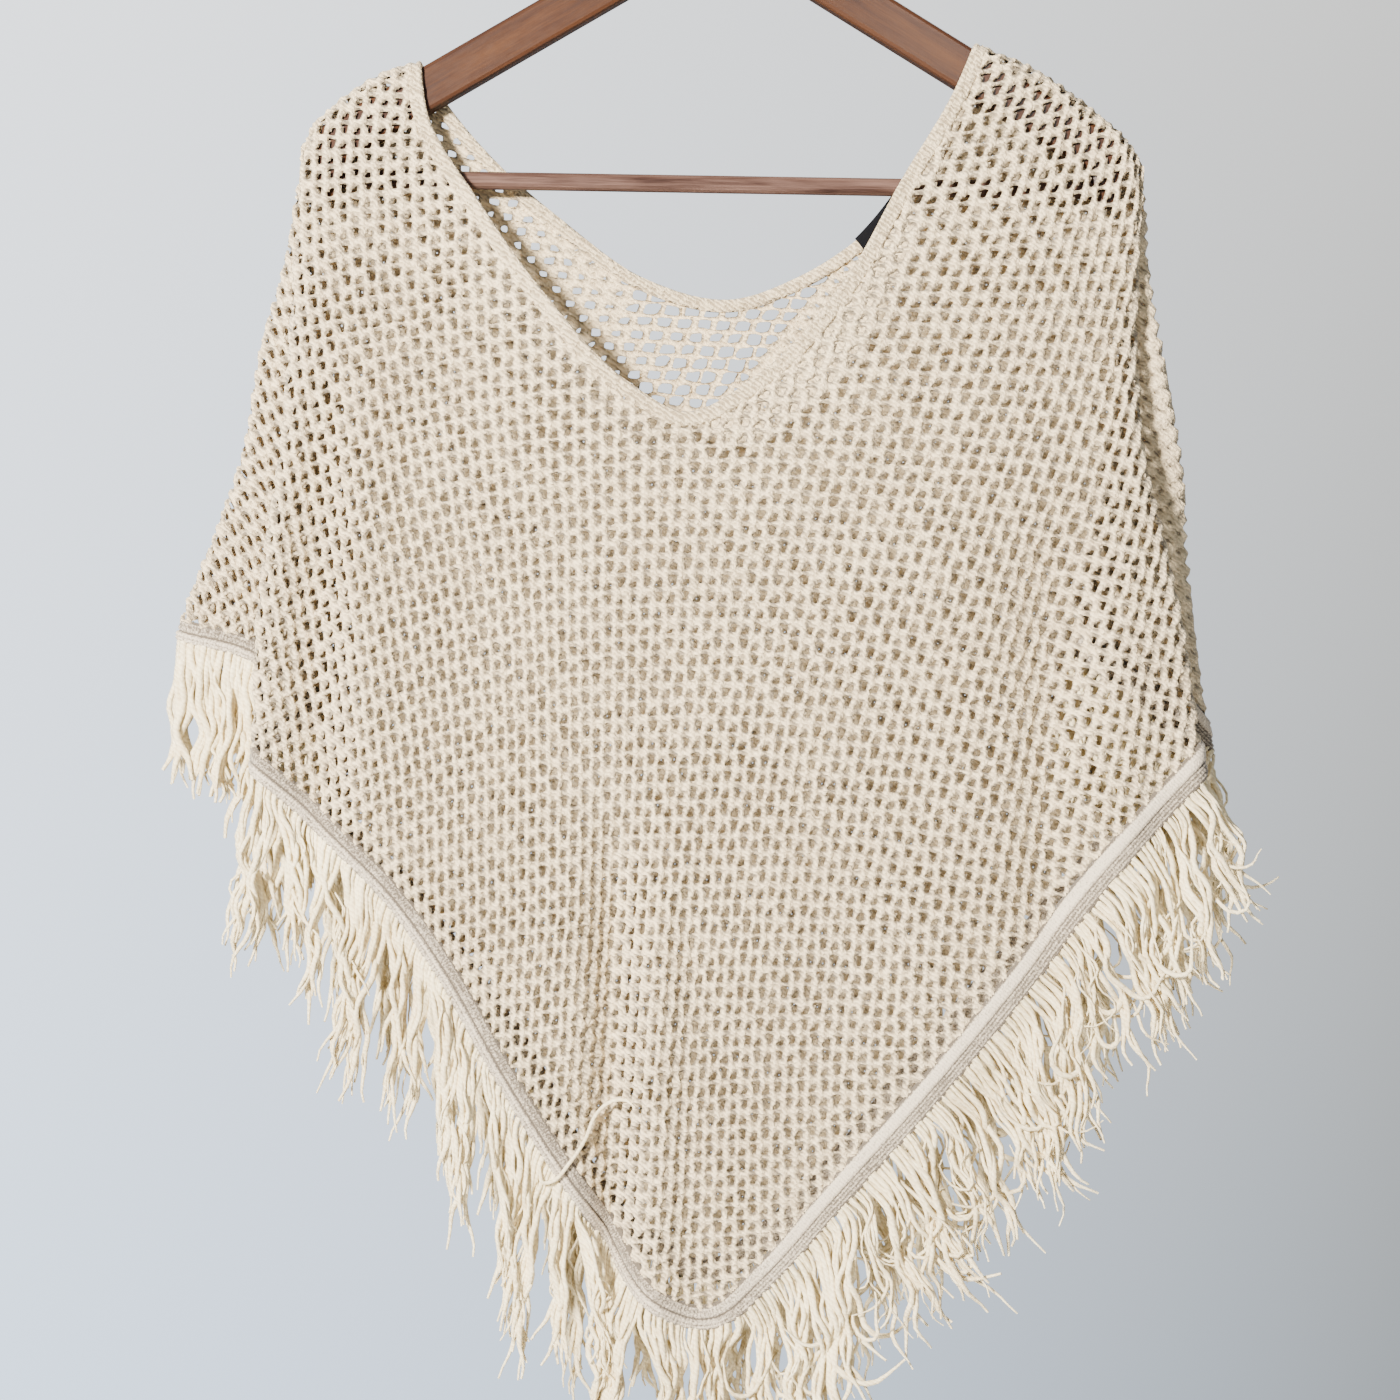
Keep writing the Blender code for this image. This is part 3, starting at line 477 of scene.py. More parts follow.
class KnitPlaces:
    """Finds the place on the cloth of any pair and row number."""

    STEP = 0.5                # of the table, in pairs and rows
    PAIR_WIDTH = 13.2         # the search for a place starts from an even knit of this size
    ROW_HEIGHT = 8.6
    ROUNDS = 14
    LONGEST_MOVE = 60.0       # of one round

    def __init__(self, shares, mirror, pair_range, row_range):
        self.first = (pair_range[0], row_range[0])
        pairs, rows = (np.arange(first, last + 1.01, self.STEP) * share
                       for share, (first, last) in zip(shares, (pair_range, row_range)))
        pair, row = np.meshgrid(pairs, rows)
        across, along = pair * self.PAIR_WIDTH, KNIT_MIDDLE - row * self.ROW_HEIGHT
        for _ in range(self.ROUNDS):
            counts, by_a, by_b = knit_count(across, along, mirror)
            miss = counts - (pair, row)
            area = by_a[0] * by_b[1] - by_b[0] * by_a[1]
            area = np.where(np.abs(area) < 1e-4, -1e-4, area)
            move = np.stack([miss[0] * by_b[1] - miss[1] * by_b[0],
                             miss[1] * by_a[0] - miss[0] * by_a[1]]) / area
            move = np.clip(move, -self.LONGEST_MOVE, self.LONGEST_MOVE)
            across, along = across - move[0], along - move[1]
        self.table = np.stack([across, along], -1)

    def __call__(self, pair, row):
        column, row = (pair - self.first[0]) / self.STEP, (row - self.first[1]) / self.STEP
        tall, wide = self.table.shape[:2]
        place = between(self.table, np.clip(row, 0, tall - 1.001), np.clip(column, 0, wide - 1.001))
        return place[..., 0], place[..., 1]


CORNER_DRAW = 0.88            # draws the corners of an opening in, which rounds it
SPREAD_ROUNDS = 6             # how far the shape of an opening moves the squares round it
FAR = 9.0                     # more squares than any corner is from an opening


def knit_pattern(columns, rows, openings):
    """Two rows of the open knit, the second moved by half a pair: where each corner of a
    square lies, which way it goes when the openings close up, which squares are open, and
    how far each corner is from the nearest opening, all in squares."""
    tall = rows * 2
    placed = [(opening, columns // 2 * second, rows * second)
              for second in (0, 1) for opening in openings]
    open_squares = np.zeros((tall, columns), bool)
    for opening, aside, below in placed:
        for row, first, last in opening["squares"]:
            open_squares[row + below, np.arange(first + aside, last + aside) % columns] = True
    around = sum(np.roll(open_squares, (a, b), (0, 1)).astype(int) for a in (0, 1) for b in (0, 1))
    edge = (around > 0) & (around < 4)
    shift, closing = np.zeros((tall, columns, 2)), np.zeros((tall, columns, 2))
    for opening, aside, below in placed:
        squares = np.array(opening["squares"])
        for row in range(squares[0, 0], squares[-1, 0] + 2):
            for column in range(squares[:, 1].min(), squares[:, 2].max() + 1):
                i, j = (row + below) % tall, (column + aside) % columns
                if not edge[i, j]:
                    continue
                out = np.array((column, row)) - opening["middle"]
                width = opening["wide"] * (1.0 + opening["taper"] * out[1])
                moved = np.array((out[0] * width - opening["lean"] * out[1],
                                  out[1] * opening["tall"]))
                if around[i, j] == 1:
                    moved *= CORNER_DRAW
                shift[i, j] = moved - out
                closing[i, j] = -moved
    for _ in range(SPREAD_ROUNDS):
        for field in (shift, closing):
            ways = ((0, 1), (0, -1), (1, 0), (-1, 0))
            mean = sum(np.roll(field, way, (0, 1)) for way in ways) / len(ways)
            field[~edge] = mean[~edge]
    place = shift + np.stack(np.meshgrid(np.arange(float(columns)), np.arange(float(tall))), -1)
    away = np.full((tall, columns), FAR)
    for wrap_x in (-columns, 0, columns):
        for wrap_y in (-tall, 0, tall):
            gaps = np.linalg.norm(place[:, :, None] - place[edge] - (wrap_x, wrap_y), axis=-1)
            away = np.minimum(away, gaps.min(-1))
    return shift, closing, open_squares, away


# The openings of one pair: the squares of each row that are open, as row, first column and
# column after the last, and how they are drawn.
TALL_OPENING = dict(squares=((2, 3, 6), (3, 4, 6), (4, 4, 6), (5, 4, 6), (6, 4, 6)),
                    middle=(5.0, 4.5), wide=1.12, tall=1.05, taper=-0.05, lean=0.08)
SMALL_OPENING = dict(squares=((4, 10, 12), (5, 10, 12), (6, 9, 12), (7, 9, 12)),
                     middle=(10.8, 6.0), wide=0.95, tall=0.95, taper=0.05, lean=0.14)
BACK_OPENING = dict(squares=tuple((row, 1, 5) for row in range(1, 7)),
                    middle=(3.0, 4.0), wide=1.08, tall=1.02, taper=0.0, lean=0.22)
# The squares that one pair and one row of each panel are drawn with.
GAUGES = {
    "front": dict(openings=(TALL_OPENING, SMALL_OPENING), columns=12, rows=9),
    "back": dict(openings=(BACK_OPENING,), columns=6, rows=8),
}
SIDE_PAIRS = 33               # measured pairs from the middle to beyond the side seam
END_ROWS = (-56, 52)          # measured rows from the middle to beyond the shoulder and point
NECK_TUCK = 0.6               # how far the knit goes under the neck band, as a share of it
HEM_TUCK = 3.0                # and under the hem band, in millimetres

# Unevenness of the openings: strength, size and seed.
OPEN_MEAN = 0.98
OPEN_SWAYS = ((0.26, 7.0, 21), (0.10, 60.0, 22))
SHOULDER_STRETCH = 0.12       # how much wider the front's openings are over the shoulders
# The back's knit is closed, but for what is seen through the V of the front panel.
BACK_CLOSED = 0.12
BACK_SHADE_OPEN = 0.5         # opens a strip along the V's left side, where the front shades it
V_RIGHT_SLOPE, V_LEFT_SLOPE = 1.138, 1.2

# Unevenness of the strands: number that it moves (0 pair, 1 row), strength, how fast it
# changes with the pair and row, size and seed.
KNIT_SWAYS = (
    (0, 0.034, 3.1, 2.3, 1.0, 11),
    (1, 0.075, 2.3, 3.1, 1.0, 12),
    (0, 0.08, 1.0, 1.0, 4.5, 13),
    (1, 0.10, 1.0, 1.0, 5.0, 14),
)
# Roundness of the strands, in squares and in shares of the relief.
ROUND_OVER = 0.8
EDGE_SUNK = 0.6
SOLID_FROM = 1.2
ROW_RISE, STRAND_RISE = 0.10, 0.26
# STRAND_SHADE is not relief: it paints shade on the yarn between the strands' columns.
STRAND_SHADE = 0.55
FUZZ, FUZZ_SIZE = 0.45, 2.2   # in millimetres


def hold(value, middle, half, fade):
    """1 round the middle, easing to 0 at the half width to either side."""
    return smooth((half - np.abs(value - middle)) / fade)


def openness(panel, across, along):
    """How far the openings are pulled open."""
    wide = sum((strength * wander(across, along, size, seed)
                for strength, size, seed in OPEN_SWAYS), OPEN_MEAN)
    if panel.face == FRONT:
        return wide + SHOULDER_STRETCH * smooth((along + 235.0) / 60.0)
    in_v = smooth((along + 352.0 - V_RIGHT_SLOPE * np.maximum(across, 0.0)) / 14.0)
    in_v = in_v * hold(across, 20.0, 92.0, 42.0)
    from_left = across + 121.6 + (along + 231.9) / V_LEFT_SLOPE
    in_shade = hold(from_left, 2.0, 17.0, 8.0) * smooth((along + 350.0) / 20.0)
    return wide * np.maximum(in_v, BACK_CLOSED + BACK_SHADE_OPEN * in_shade)


def inside_panel(panel, half, across, along):
    """Which places lie on one half of a panel, and the places held to its edges."""
    top = shoulder_height(np.clip(across, -SHOULDER_END, SHOULDER_END)) + BEND_ARC - BEND_DROP
    widest = panel.widest(half, np.clip(along, panel.FOLD_FOOT, panel.FOLD_TOP))
    hem = np.interp(across, *panel.hem_path.T)
    neck_edge = panel.neck_line(panel.neck_width * NECK_TUCK)
    neck = np.interp(across, *neck_edge.T, left=1e3, right=1e3)
    inside = ((along > hem - HEM_TUCK) & (along < np.minimum(neck, top + 1.5))
              & (np.abs(across) < widest + 1.0))
    return inside, np.clip(across, -widest, widest), np.minimum(along, top)


def square_faces(used, face):
    """Numbers of the corners that the used squares of a grid need, and the squares' faces."""
    number = np.arange((used.shape[0] + 1) * (used.shape[1] + 1))
    number = number.reshape(used.shape[0] + 1, -1)
    corners = (number[:-1, :-1], number[1:, :-1], number[1:, 1:], number[:-1, 1:])
    quads = np.stack(corners, -1)[used]
    kept, faces = np.unique(quads, return_inverse=True)
    return kept, faces.reshape(quads.shape)[:, ::-face]


def strand_waves(pair, openings, columns):
    """1 along the middle of each column of yarn between two openings of a pair."""
    if len(openings) < 2:
        return np.ones(len(pair))
    first_strand = (openings[0]["middle"][0] + columns / 4) / columns
    return np.cos(4 * math.pi * (pair - first_strand))


def knit_sheet(panel, half, shares, relief, openings, columns, rows):
    """Points, faces and edge distances of one half of a panel's knit."""
    shift, closing, open_squares, away = knit_pattern(columns, rows, openings)
    last_pair = int(SIDE_PAIRS / shares[0])
    first_row, last_row = (int(row / shares[1]) for row in END_ROWS)
    places = KnitPlaces(shares, -panel.face, (-last_pair - 2, last_pair + 2),
                        (first_row - 2, last_row + 2))
    down = np.arange(first_row * rows, last_row * rows + 1)
    sideways = np.sort(np.arange(last_pair * columns + 1) * half)
    column, row = np.meshgrid(sideways, down)
    cell = (row % (2 * rows), column % columns)
    closed = 1.0 - openness(panel, *places(column / columns, row / rows))
    move = shift[cell] + closing[cell] * closed[..., None]
    knit_place = [(column + move[..., 0]) / columns, (row + move[..., 1]) / rows]
    for number, strength, by_pair, by_row, size, seed in KNIT_SWAYS:
        knit_place[number] = knit_place[number] + strength * wander(
            knit_place[0] * by_pair, knit_place[1] * by_row, size, seed)

    inside, across, along = inside_panel(panel, half, *places(*knit_place))
    used = ~open_squares[cell][:-1, :-1]
    for a, b in ((0, 0), (0, 1), (1, 0), (1, 1)):
        used &= inside[a:len(down) - 1 + a, b:len(sideways) - 1 + b]
    kept, faces = square_faces(used, panel.face)
    across, along, gap, pair, row = (
        field.ravel()[kept] for field in (across, along, away[cell], *knit_place))
    points, normals = panel.place_with_normals(across, along)

    row_part = np.modf(row + 100)[0]
    strand = strand_waves(pair, openings, columns)
    solid = smooth(gap / SOLID_FROM)
    waves = ROW_RISE * np.cos(2 * math.pi * row_part) + STRAND_RISE * strand
    rise = relief * (EDGE_SUNK - np.exp(-gap / ROUND_OVER))
    rise = rise + relief * waves * solid + FUZZ * wander(across + 400, along, FUZZ_SIZE, 15)
    # Painted shade: the distance that darkens the yarn is cut between the strands' columns.
    gap = gap + STRAND_SHADE * (strand - 0.7) * solid
    return points + normals * rise[:, None], faces, np.stack([gap, row_part], 1)


# ---------------------------------------------------------------- meshes


def new_mesh_object(name, points, faces, material, pattern=None):
    """Object from points in millimetres and equal-sided faces."""
    mesh = bpy.data.meshes.new(name)
    sides = faces.shape[1]
    mesh.vertices.add(len(points))
    mesh.vertices.foreach_set("co", (points * MM).astype(np.float32).ravel())
    mesh.loops.add(faces.size)
    mesh.loops.foreach_set("vertex_index", faces.astype(np.int32).ravel())
    mesh.polygons.add(len(faces))
    mesh.polygons.foreach_set("loop_start", np.arange(0, faces.size, sides, dtype=np.int32))
    if pattern is not None:
        layer = mesh.uv_layers.new(name="pattern")
        layer.data.foreach_set("uv", pattern[faces.ravel()].astype(np.float32).ravel())
    mesh.update(calc_edges=True)
    mesh.validate()
    mesh.shade_smooth()
    mesh.materials.append(material)
    thing = bpy.data.objects.new(name, mesh)
    bpy.context.scene.collection.objects.link(thing)
    return thing


def finish_piece(thing, slot, *nodes):
    """Fixes a piece to the hanger's body and hides the CAD parts that it stands for."""
    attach(thing, "root")
    if nodes:
        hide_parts(*nodes)


def loop_faces(rings, around):
    """Faces of a tube of rings that each have the same number of points."""
    ring, point = np.meshgrid(np.arange(rings - 1), np.arange(around), indexing="ij")
    after = (point + 1) % around
    faces = [ring * around + point, ring * around + after,
             (ring + 1) * around + after, (ring + 1) * around + point]
    return np.stack(faces, -1).reshape(-1, 4)


# Sections of the bands, read across from the upper edge: share of the width, and share of
# the rise off the cloth at the left and at the right.
NECK_SECTION = ((0.0, 0.2, 0.2), (0.12, 0.9, 0.9), (0.3, 1.0, 1.0), (0.42, 0.6, 0.6),
                (0.56, 1.0, 1.0), (0.7, 0.65, 0.65), (0.86, 1.0, 1.0), (1.0, 0.2, 0.2))
# The hem band's rises also set its painted shade: the lower it lies, the darker it is painted.
HEM_SECTION = ((0.0, 0.1, 0.2), (0.07, 0.2, 0.5), (0.14, 0.85, 1.2), (0.28, 0.68, 1.2),
               (0.4, 0.85, 1.25), (0.49, 0.8, 1.15), (0.54, 0.3, 0.55), (0.60, 0.85, 0.95),
               (0.66, 1.05, 0.6), (0.73, 1.1, 0.95), (0.79, 0.85, 0.6), (0.86, 1.05, 0.95),
               (0.92, 0.95, 0.5), (0.97, 0.8, 0.6), (1.0, 0.2, 0.1))
# The side of a band that lies on the cloth: share of the width, and rise.
BAND_BACK = ((0.97, -0.6), (0.66, -1.0), (0.5, -0.75), (0.34, -1.0), (0.03, -0.6))


def band_section(section, thick, toward_right):
    """Shares across a band, and the rise at each station of its length."""
    section = np.array(section)
    front = section[:, 1] + (section[:, 2] - section[:, 1]) * toward_right[:, None]
    back = np.array(BAND_BACK)
    rise = np.concatenate([front, np.tile(back[:, 1], (len(front), 1))], 1) * thick
    return np.r_[section[:, 0], back[:, 0]], rise


def make_band(name, panel, lines, rises, material, uneven=0.0):
    """A tube whose long lines lie on the cloth at given places and heights off it."""
    rings = []
    run = length_along(lines[0])
    line_rises = np.broadcast_to(rises, (len(run), len(lines))).T
    for number, (line, rise) in enumerate(zip(lines, line_rises)):
        rise = rise + uneven * wander(run, np.full(len(run), 9.0 * number), 2.6, 31)
        points, normals = panel.place_with_normals(line[:, 0], line[:, 1])
        rings.append(points + normals * rise[:, None])
    rings = np.stack(rings, 1)
    count, around = rings.shape[:2]
    faces = loop_faces(count, around)
    if panel.face == FRONT:
        faces = faces[:, ::-1]
    run = length_along(rings[:, 0])
    high = np.broadcast_to(rises, (count, around)) / np.abs(rises).max()
    pattern = np.stack([np.repeat(run, around), high.ravel()], 1)
    return new_mesh_object(name, rings.reshape(-1, 3), faces, material, pattern)


def tube_set(routes, radii, sides):
    """Points and faces of many tubes: routes is (tubes, stations, 3)."""
    tubes, stations = routes.shape[:2]
    heading = unit(np.gradient(routes, axis=1))
    first = unit(np.cross(heading, (0.31, 0.95, 0.05)))
    second = np.cross(heading, first)
    angle = np.arange(sides) / sides * 2 * math.pi
    ring = (first[:, :, None] * np.cos(angle)[None, None, :, None]
            + second[:, :, None] * np.sin(angle)[None, None, :, None])
    points = routes[:, :, None] + ring * radii[:, :, None, None]
    faces = loop_faces(stations, sides)
    faces = (faces[None] + (np.arange(tubes) * stations * sides)[:, None, None]).reshape(-1, 4)
    return points.reshape(-1, 3), faces


# ---------------------------------------------------------------- shader maths


def maths(operation, turned=False):
    """A method of Value that adds a Math node, with its two values turned round if asked."""
    def method(self, *others):
        values = (self, *others)
        return self.nodes.node("ShaderNodeMath", {"operation": operation},
                               dict(enumerate(values[::-1] if turned else values)))
    return method


class Value:
    """A shader socket that can be used in a Python expression."""

    def __init__(self, nodes, socket):
        self.nodes = nodes
        self.socket = socket

    __add__ = maths("ADD")
    __radd__ = maths("ADD", turned=True)
    __sub__ = maths("SUBTRACT")
    __rsub__ = maths("SUBTRACT", turned=True)
    __mul__ = maths("MULTIPLY")
    __rmul__ = maths("MULTIPLY", turned=True)
    __pow__ = maths("POWER")
    __abs__ = maths("ABSOLUTE")
    sine = maths("SINE")

    def clamp(self):
        return self.nodes.node("ShaderNodeClamp", {}, {"Value": self})


class Nodes:
    """A node tree that is built by short calls."""

    def __init__(self, tree):
        self.tree = tree

    def node(self, kind, settings, inputs, output=0):
        """Adds a node, sets it up, fills its sockets and returns one of its outputs."""
        made = self.tree.nodes.new(kind)
        for name, value in settings.items():
            setattr(made, name, value)
        self.fill(made, inputs)
        return Value(self, made.outputs[output])

    def fill(self, node, inputs):
        """Links a node's inputs to values of other nodes, or sets them to constants."""
        for key, value in inputs.items():
            if isinstance(value, Value):
                self.tree.links.new(value.socket, node.inputs[key])
            else:
                node.inputs[key].default_value = value

    def mix(self, first, second, factor):
        """Blend of two colours."""
        first, second = (colour if isinstance(colour, Value) else opaque(colour)
                         for colour in (first, second))
        inputs = {0: factor, 6: first, 7: second}
        return self.node("ShaderNodeMix", {"data_type": "RGBA"}, inputs, 2)

    def parts(self, vector):
        """x, y and z of a vector."""
        split = self.node("ShaderNodeSeparateXYZ", {}, {0: vector}).socket.node
        return [Value(self, socket) for socket in split.outputs]

    def place(self, kind="Object"):
        return self.node("ShaderNodeTexCoord", {}, {}, kind)


class Shader(Nodes):
    """A new material with a Principled shader."""

    def __init__(self, name, **constants):
        self.material = bpy.data.materials.new(name)
        self.material.use_nodes = True
        super().__init__(self.material.node_tree)
        for socket, value in constants.items():
            self.feed(socket.replace("_", " "), value)

    def noise(self, vector, scale, detail=3.0, roughness=0.55):
        return self.node("ShaderNodeTexNoise", {}, {
            "Vector": vector, "Scale": scale, "Detail": detail, "Roughness": roughness})

    def stretched_noise(self, parts, stretch, scale, detail, roughness=0.55):
        """Noise whose size differs along x, y and z."""
        scaled = {axis: part * size for axis, (part, size) in enumerate(zip(parts, stretch))}
        return self.noise(self.node("ShaderNodeCombineXYZ", {}, scaled), scale, detail, roughness)

    def pattern_parts(self):
        return self.parts(self.node("ShaderNodeUVMap", {"uv_map": "pattern"}, {}))

    def feed(self, socket, value):
        self.fill(self.tree.nodes["Principled BSDF"], {socket: value})

    def bump(self, height, strength, distance):
        self.feed("Normal", self.node("ShaderNodeBump", {}, {
            "Strength": strength, "Distance": distance, "Height": height}))


def tint(colour, factor):
    """A colour made darker or lighter."""
    return [channel * factor for channel in colour]


def opaque(colour):
    return (*colour[:3], 1.0)


def yarn_cloth(name, colour, shade, speck, deep=None, painted_shade_share=0.56, rough=0.9):
    """Wool-like yarn: fine fibres in the bump, and slow and fast changes of tone. With a deep
    colour, shade is painted on the yarn towards the openings of the knit."""
    shader = Shader(name, Roughness=0.9, Sheen_Weight=0.15, Sheen_Roughness=0.5,
                    Specular_IOR_Level=0.2)
    place = shader.place()
    slow = shader.noise(place, scale=14.0, detail=2.0)
    knots = shader.noise(place, scale=330.0, detail=1.0, roughness=0.5)
    fibres = shader.noise(place, scale=800.0, detail=2.0, roughness=0.6)
    x, _, z = shader.parts(place)
    twist = (x * 1500.0 + z * 2300.0 + knots * 9.0).sine() * 0.5 + 0.5
    tone = (slow - 0.5) * 0.8 + (knots - 0.5) * speck * 2.0 + (twist - 0.5) * speck * 0.8 + 0.6
    yarn = shader.mix(shade, colour, tone.clamp())
    # Painted shade: the yarn is darkened with the deep colour near the openings, by the distance
    # carried in the pattern.
    if deep is not None:
        gap = shader.pattern_parts()[0]
        unshaded = (gap * painted_shade_share + (knots - 0.5) * 1.5 + (twist - 0.5) * 0.4 + 0.08).clamp()
        yarn = shader.mix(deep, yarn, unshaded ** 0.8)
    shader.feed("Base Color", yarn)
    shader.bump(knots * 1.1 + twist * 0.35 + fibres * 0.6, strength=rough, distance=0.0016)
    return shader.material


def rib_cloth(name, colour, shade, stitch):
    """Close rib: small slanting stitches along the band, with shade painted darker where it lies
    low, in its grooves.
    """
    shader = Shader(name, Roughness=0.85, Sheen_Weight=0.25, Sheen_Roughness=0.5,
                    Specular_IOR_Level=0.25)
    along, rise, _ = shader.pattern_parts()
    high = abs(rise)
    place = shader.place()
    stitches = (along * (2 * math.pi / stitch) + high * 4.0).sine() * 0.5 + 0.5
    speck = shader.noise(place, scale=1000.0, detail=2.0, roughness=0.6)
    slow = shader.noise(place, scale=30.0, detail=2.0)
    # Painted shade: where the band rises less, in its grooves and low ribs, it is darkened towards
    # the shade colour; the specks and slow changes are random.
    tone = high * 2.2 - 1.2 + stitches * 0.14 + (speck - 0.5) * 2.5 + (slow - 0.5) * 0.6
    shader.feed("Base Color", shader.mix(shade, colour, tone.clamp()))
    shader.bump(stitches * 0.25 + speck * 0.9, strength=0.7, distance=0.001)
    return shader.material


def ribbon_cloth(name, colour):
    """Dark woven ribbon."""
    shader = Shader(name, Roughness=0.8, Specular_IOR_Level=0.05)
    weave = shader.node("ShaderNodeTexWave", {"bands_direction": "DIAGONAL"},
                        {"Vector": shader.place(), "Scale": 900.0, "Distortion": 1.0})
    shader.feed("Base Color", shader.mix(tint(colour, 0.7), tint(colour, 1.6), weave))
    shader.bump(weave, strength=0.3, distance=0.0002)
    return shader.material


def lacquered_wood(name, colour, dark, roughness, coat, across_arm):
    """Stained wood with grain along the piece, under lacquer."""
    shader = Shader(name, Coat_Weight=coat, Coat_Roughness=0.16, Specular_IOR_Level=0.12)
    x, y, z = shader.parts(shader.place())
    if across_arm:
        run, fall = 0.857, 0.515          # direction of the sloping arms
        long_way, deep_way = abs(x) * run - z * fall, abs(x) * fall + z * run
    else:
        long_way, deep_way = x, z
    parts = (long_way, y, deep_way)
    grain = shader.stretched_noise(parts, (9.0, 120.0, 150.0), 1.6, 5.0, 0.62)
    pores = shader.stretched_noise(parts, (60.0, 1500.0, 1500.0), 1.0, 2.0)
    scuffs = shader.stretched_noise(parts, (30.0, 90.0, 90.0), 6.0, 4.0, 0.7)
    tone = ((grain - 0.5) * 2.4 + (pores - 0.5) * 0.8 + 0.5).clamp()
    shader.feed("Base Color", shader.mix(dark, colour, tone))
    shader.feed("Roughness", ((scuffs - 0.5) * 0.35 + roughness).clamp())
    shader.bump(grain * 0.5 + pores * 0.5, strength=0.12, distance=0.0004)
    return shader.material


def plated_wire(name, colour):
    """Bright wire, a little worn."""
    shader = Shader(name, Metallic=1.0)
    wear = shader.noise(shader.place(), scale=220.0, detail=4.0, roughness=0.6)
    shader.feed("Base Color", shader.mix(tint(colour, 0.8), colour, wear))
    shader.feed("Roughness", wear * 0.25 + 0.14)
    return shader.material


def painted_floor(name, colour):
    """Matt paint, a little cloudy."""
    shader = Shader(name, Roughness=0.6)
    cloudy = shader.noise(shader.place(), scale=2.0, detail=4.0)
    shader.feed("Base Color", shader.mix(tint(colour, 0.96), colour, cloudy))
    return shader.material


# ---------------------------------------------------------------- sizes and colours


def number(name, description, default, low, high, **kind):
    return FloatProperty(name=name, description=description, default=default, min=low, max=high,
                         **kind)


def millimetres(name, description, default, low, high):
    return number(name, description, default * MM, low * MM, high * MM, unit="LENGTH")


def portion(name, description, default):
    return number(name, description, default, 0.3, 3.0)


def colour(name, description, default):
    return FloatVectorProperty(name=name, description=description, default=default, size=3,
                               min=0.0, max=1.0, subtype="COLOR")


class PonchoKnitSizes(bpy.types.PropertyGroup):
    pair_share: portion("Pair width", "Width of the openings, as a share of what is measured", 1.0)
    row_share: portion("Row height", "Height of the rows, as a share of what is measured", 1.0)
    back_pair_share: portion("Back pair width", "The same on the back panel", 0.6)
    back_row_share: portion("Back row height", "The same on the back panel", 0.92)
    relief: millimetres("Yarn relief", "How far the strands stand above their edges", 2.0, 0, 3)


class PonchoTrimSizes(bpy.types.PropertyGroup):
    neck_thick: millimetres("Neck band rise", "From the cloth to the band's face", 1.5, 0.5, 3)
    hem_left: millimetres("Hem band, left", "Width of the hem band at the left", 12.0, 8, 20)
    hem_right: millimetres("Hem band, right", "Width of the hem band at the right", 15.5, 8, 24)
    hem_thick: millimetres("Hem band rise", "From the cloth to the band's face", 2.0, 0.5, 3)
    yarn: millimetres("Fringe yarn", "Radius of one yarn of the fringe", 1.35, 0.4, 2)
    spacing: millimetres("Fringe spacing", "Distance between yarns along the hem", 1.7, 1, 6)
    reach: millimetres("Fringe length", "Length of the yarns below the hem band", 97, 40, 140)
    side_reach: millimetres("Side fringe length", "The same on the folded sides", 80, 40, 140)


class PonchoColours(bpy.types.PropertyGroup):
    knit: colour("Knit", "Yarn of the panels", (0.81, 0.655, 0.42))
    knit_shade: colour("Knit shade", "Its darker places", (0.50, 0.385, 0.24))
    # Painted shade: the colour that the knit's yarn is darkened to near its openings.
    knit_painted_shade: colour("Knit edges", "The yarn at the openings", (0.185, 0.149, 0.103))
    rib: colour("Rib", "Yarn of the bands", (0.64, 0.538, 0.41))
    # Painted shade of the bands: their grooves and low ribs are darkened to this colour, with
    # random specks.
    rib_painted_shade: colour("Rib shade", "Between the stitches of the bands", (0.115, 0.09, 0.065))
    fringe: colour("Fringe", "Yarn of the fringe", (0.91, 0.80, 0.54))
    fringe_shade: colour("Fringe shade", "Its darker places", (0.55, 0.425, 0.235))
    label: colour("Label", "Woven ribbon", (0.004, 0.004, 0.005))
    wood: colour("Wood", "Stain of the arms", (0.058, 0.0205, 0.0065))
    wood_dark: colour("Wood grain", "Grain of the arms", (0.022, 0.008, 0.005))
    bar: colour("Bar", "Stain of the bar", (0.124, 0.070, 0.054))
    steel: colour("Wire", "Plating of the hook", (0.62, 0.62, 0.62))
    floor: colour("Floor", "Studio floor", (0.78, 0.78, 0.78))
    light: colour("Lamp light", "Light of the lamps", (1.0, 0.955, 0.875))
    glow: colour("Room light", "Light of the room round the object", (0.90, 0.95, 1.0))
    # The backdrop's colours fall from bright at the upper left to dark at the lower right: painted
    # light and shade on the wall behind.
    wall_left: colour("Backdrop, upper left", "Backdrop at the upper left", (0.86, 0.90, 0.95))
    wall_right: colour("Backdrop, upper right", "Backdrop at the upper right", (0.43, 0.43, 0.42))
    wall_low_left: colour("Backdrop, lower left", "Backdrop at the lower left", (0.66, 0.80, 1.0))
    wall_low_right: colour("Backdrop, lower right", "Backdrop at the lower right",
                           (0.165, 0.18, 0.19))


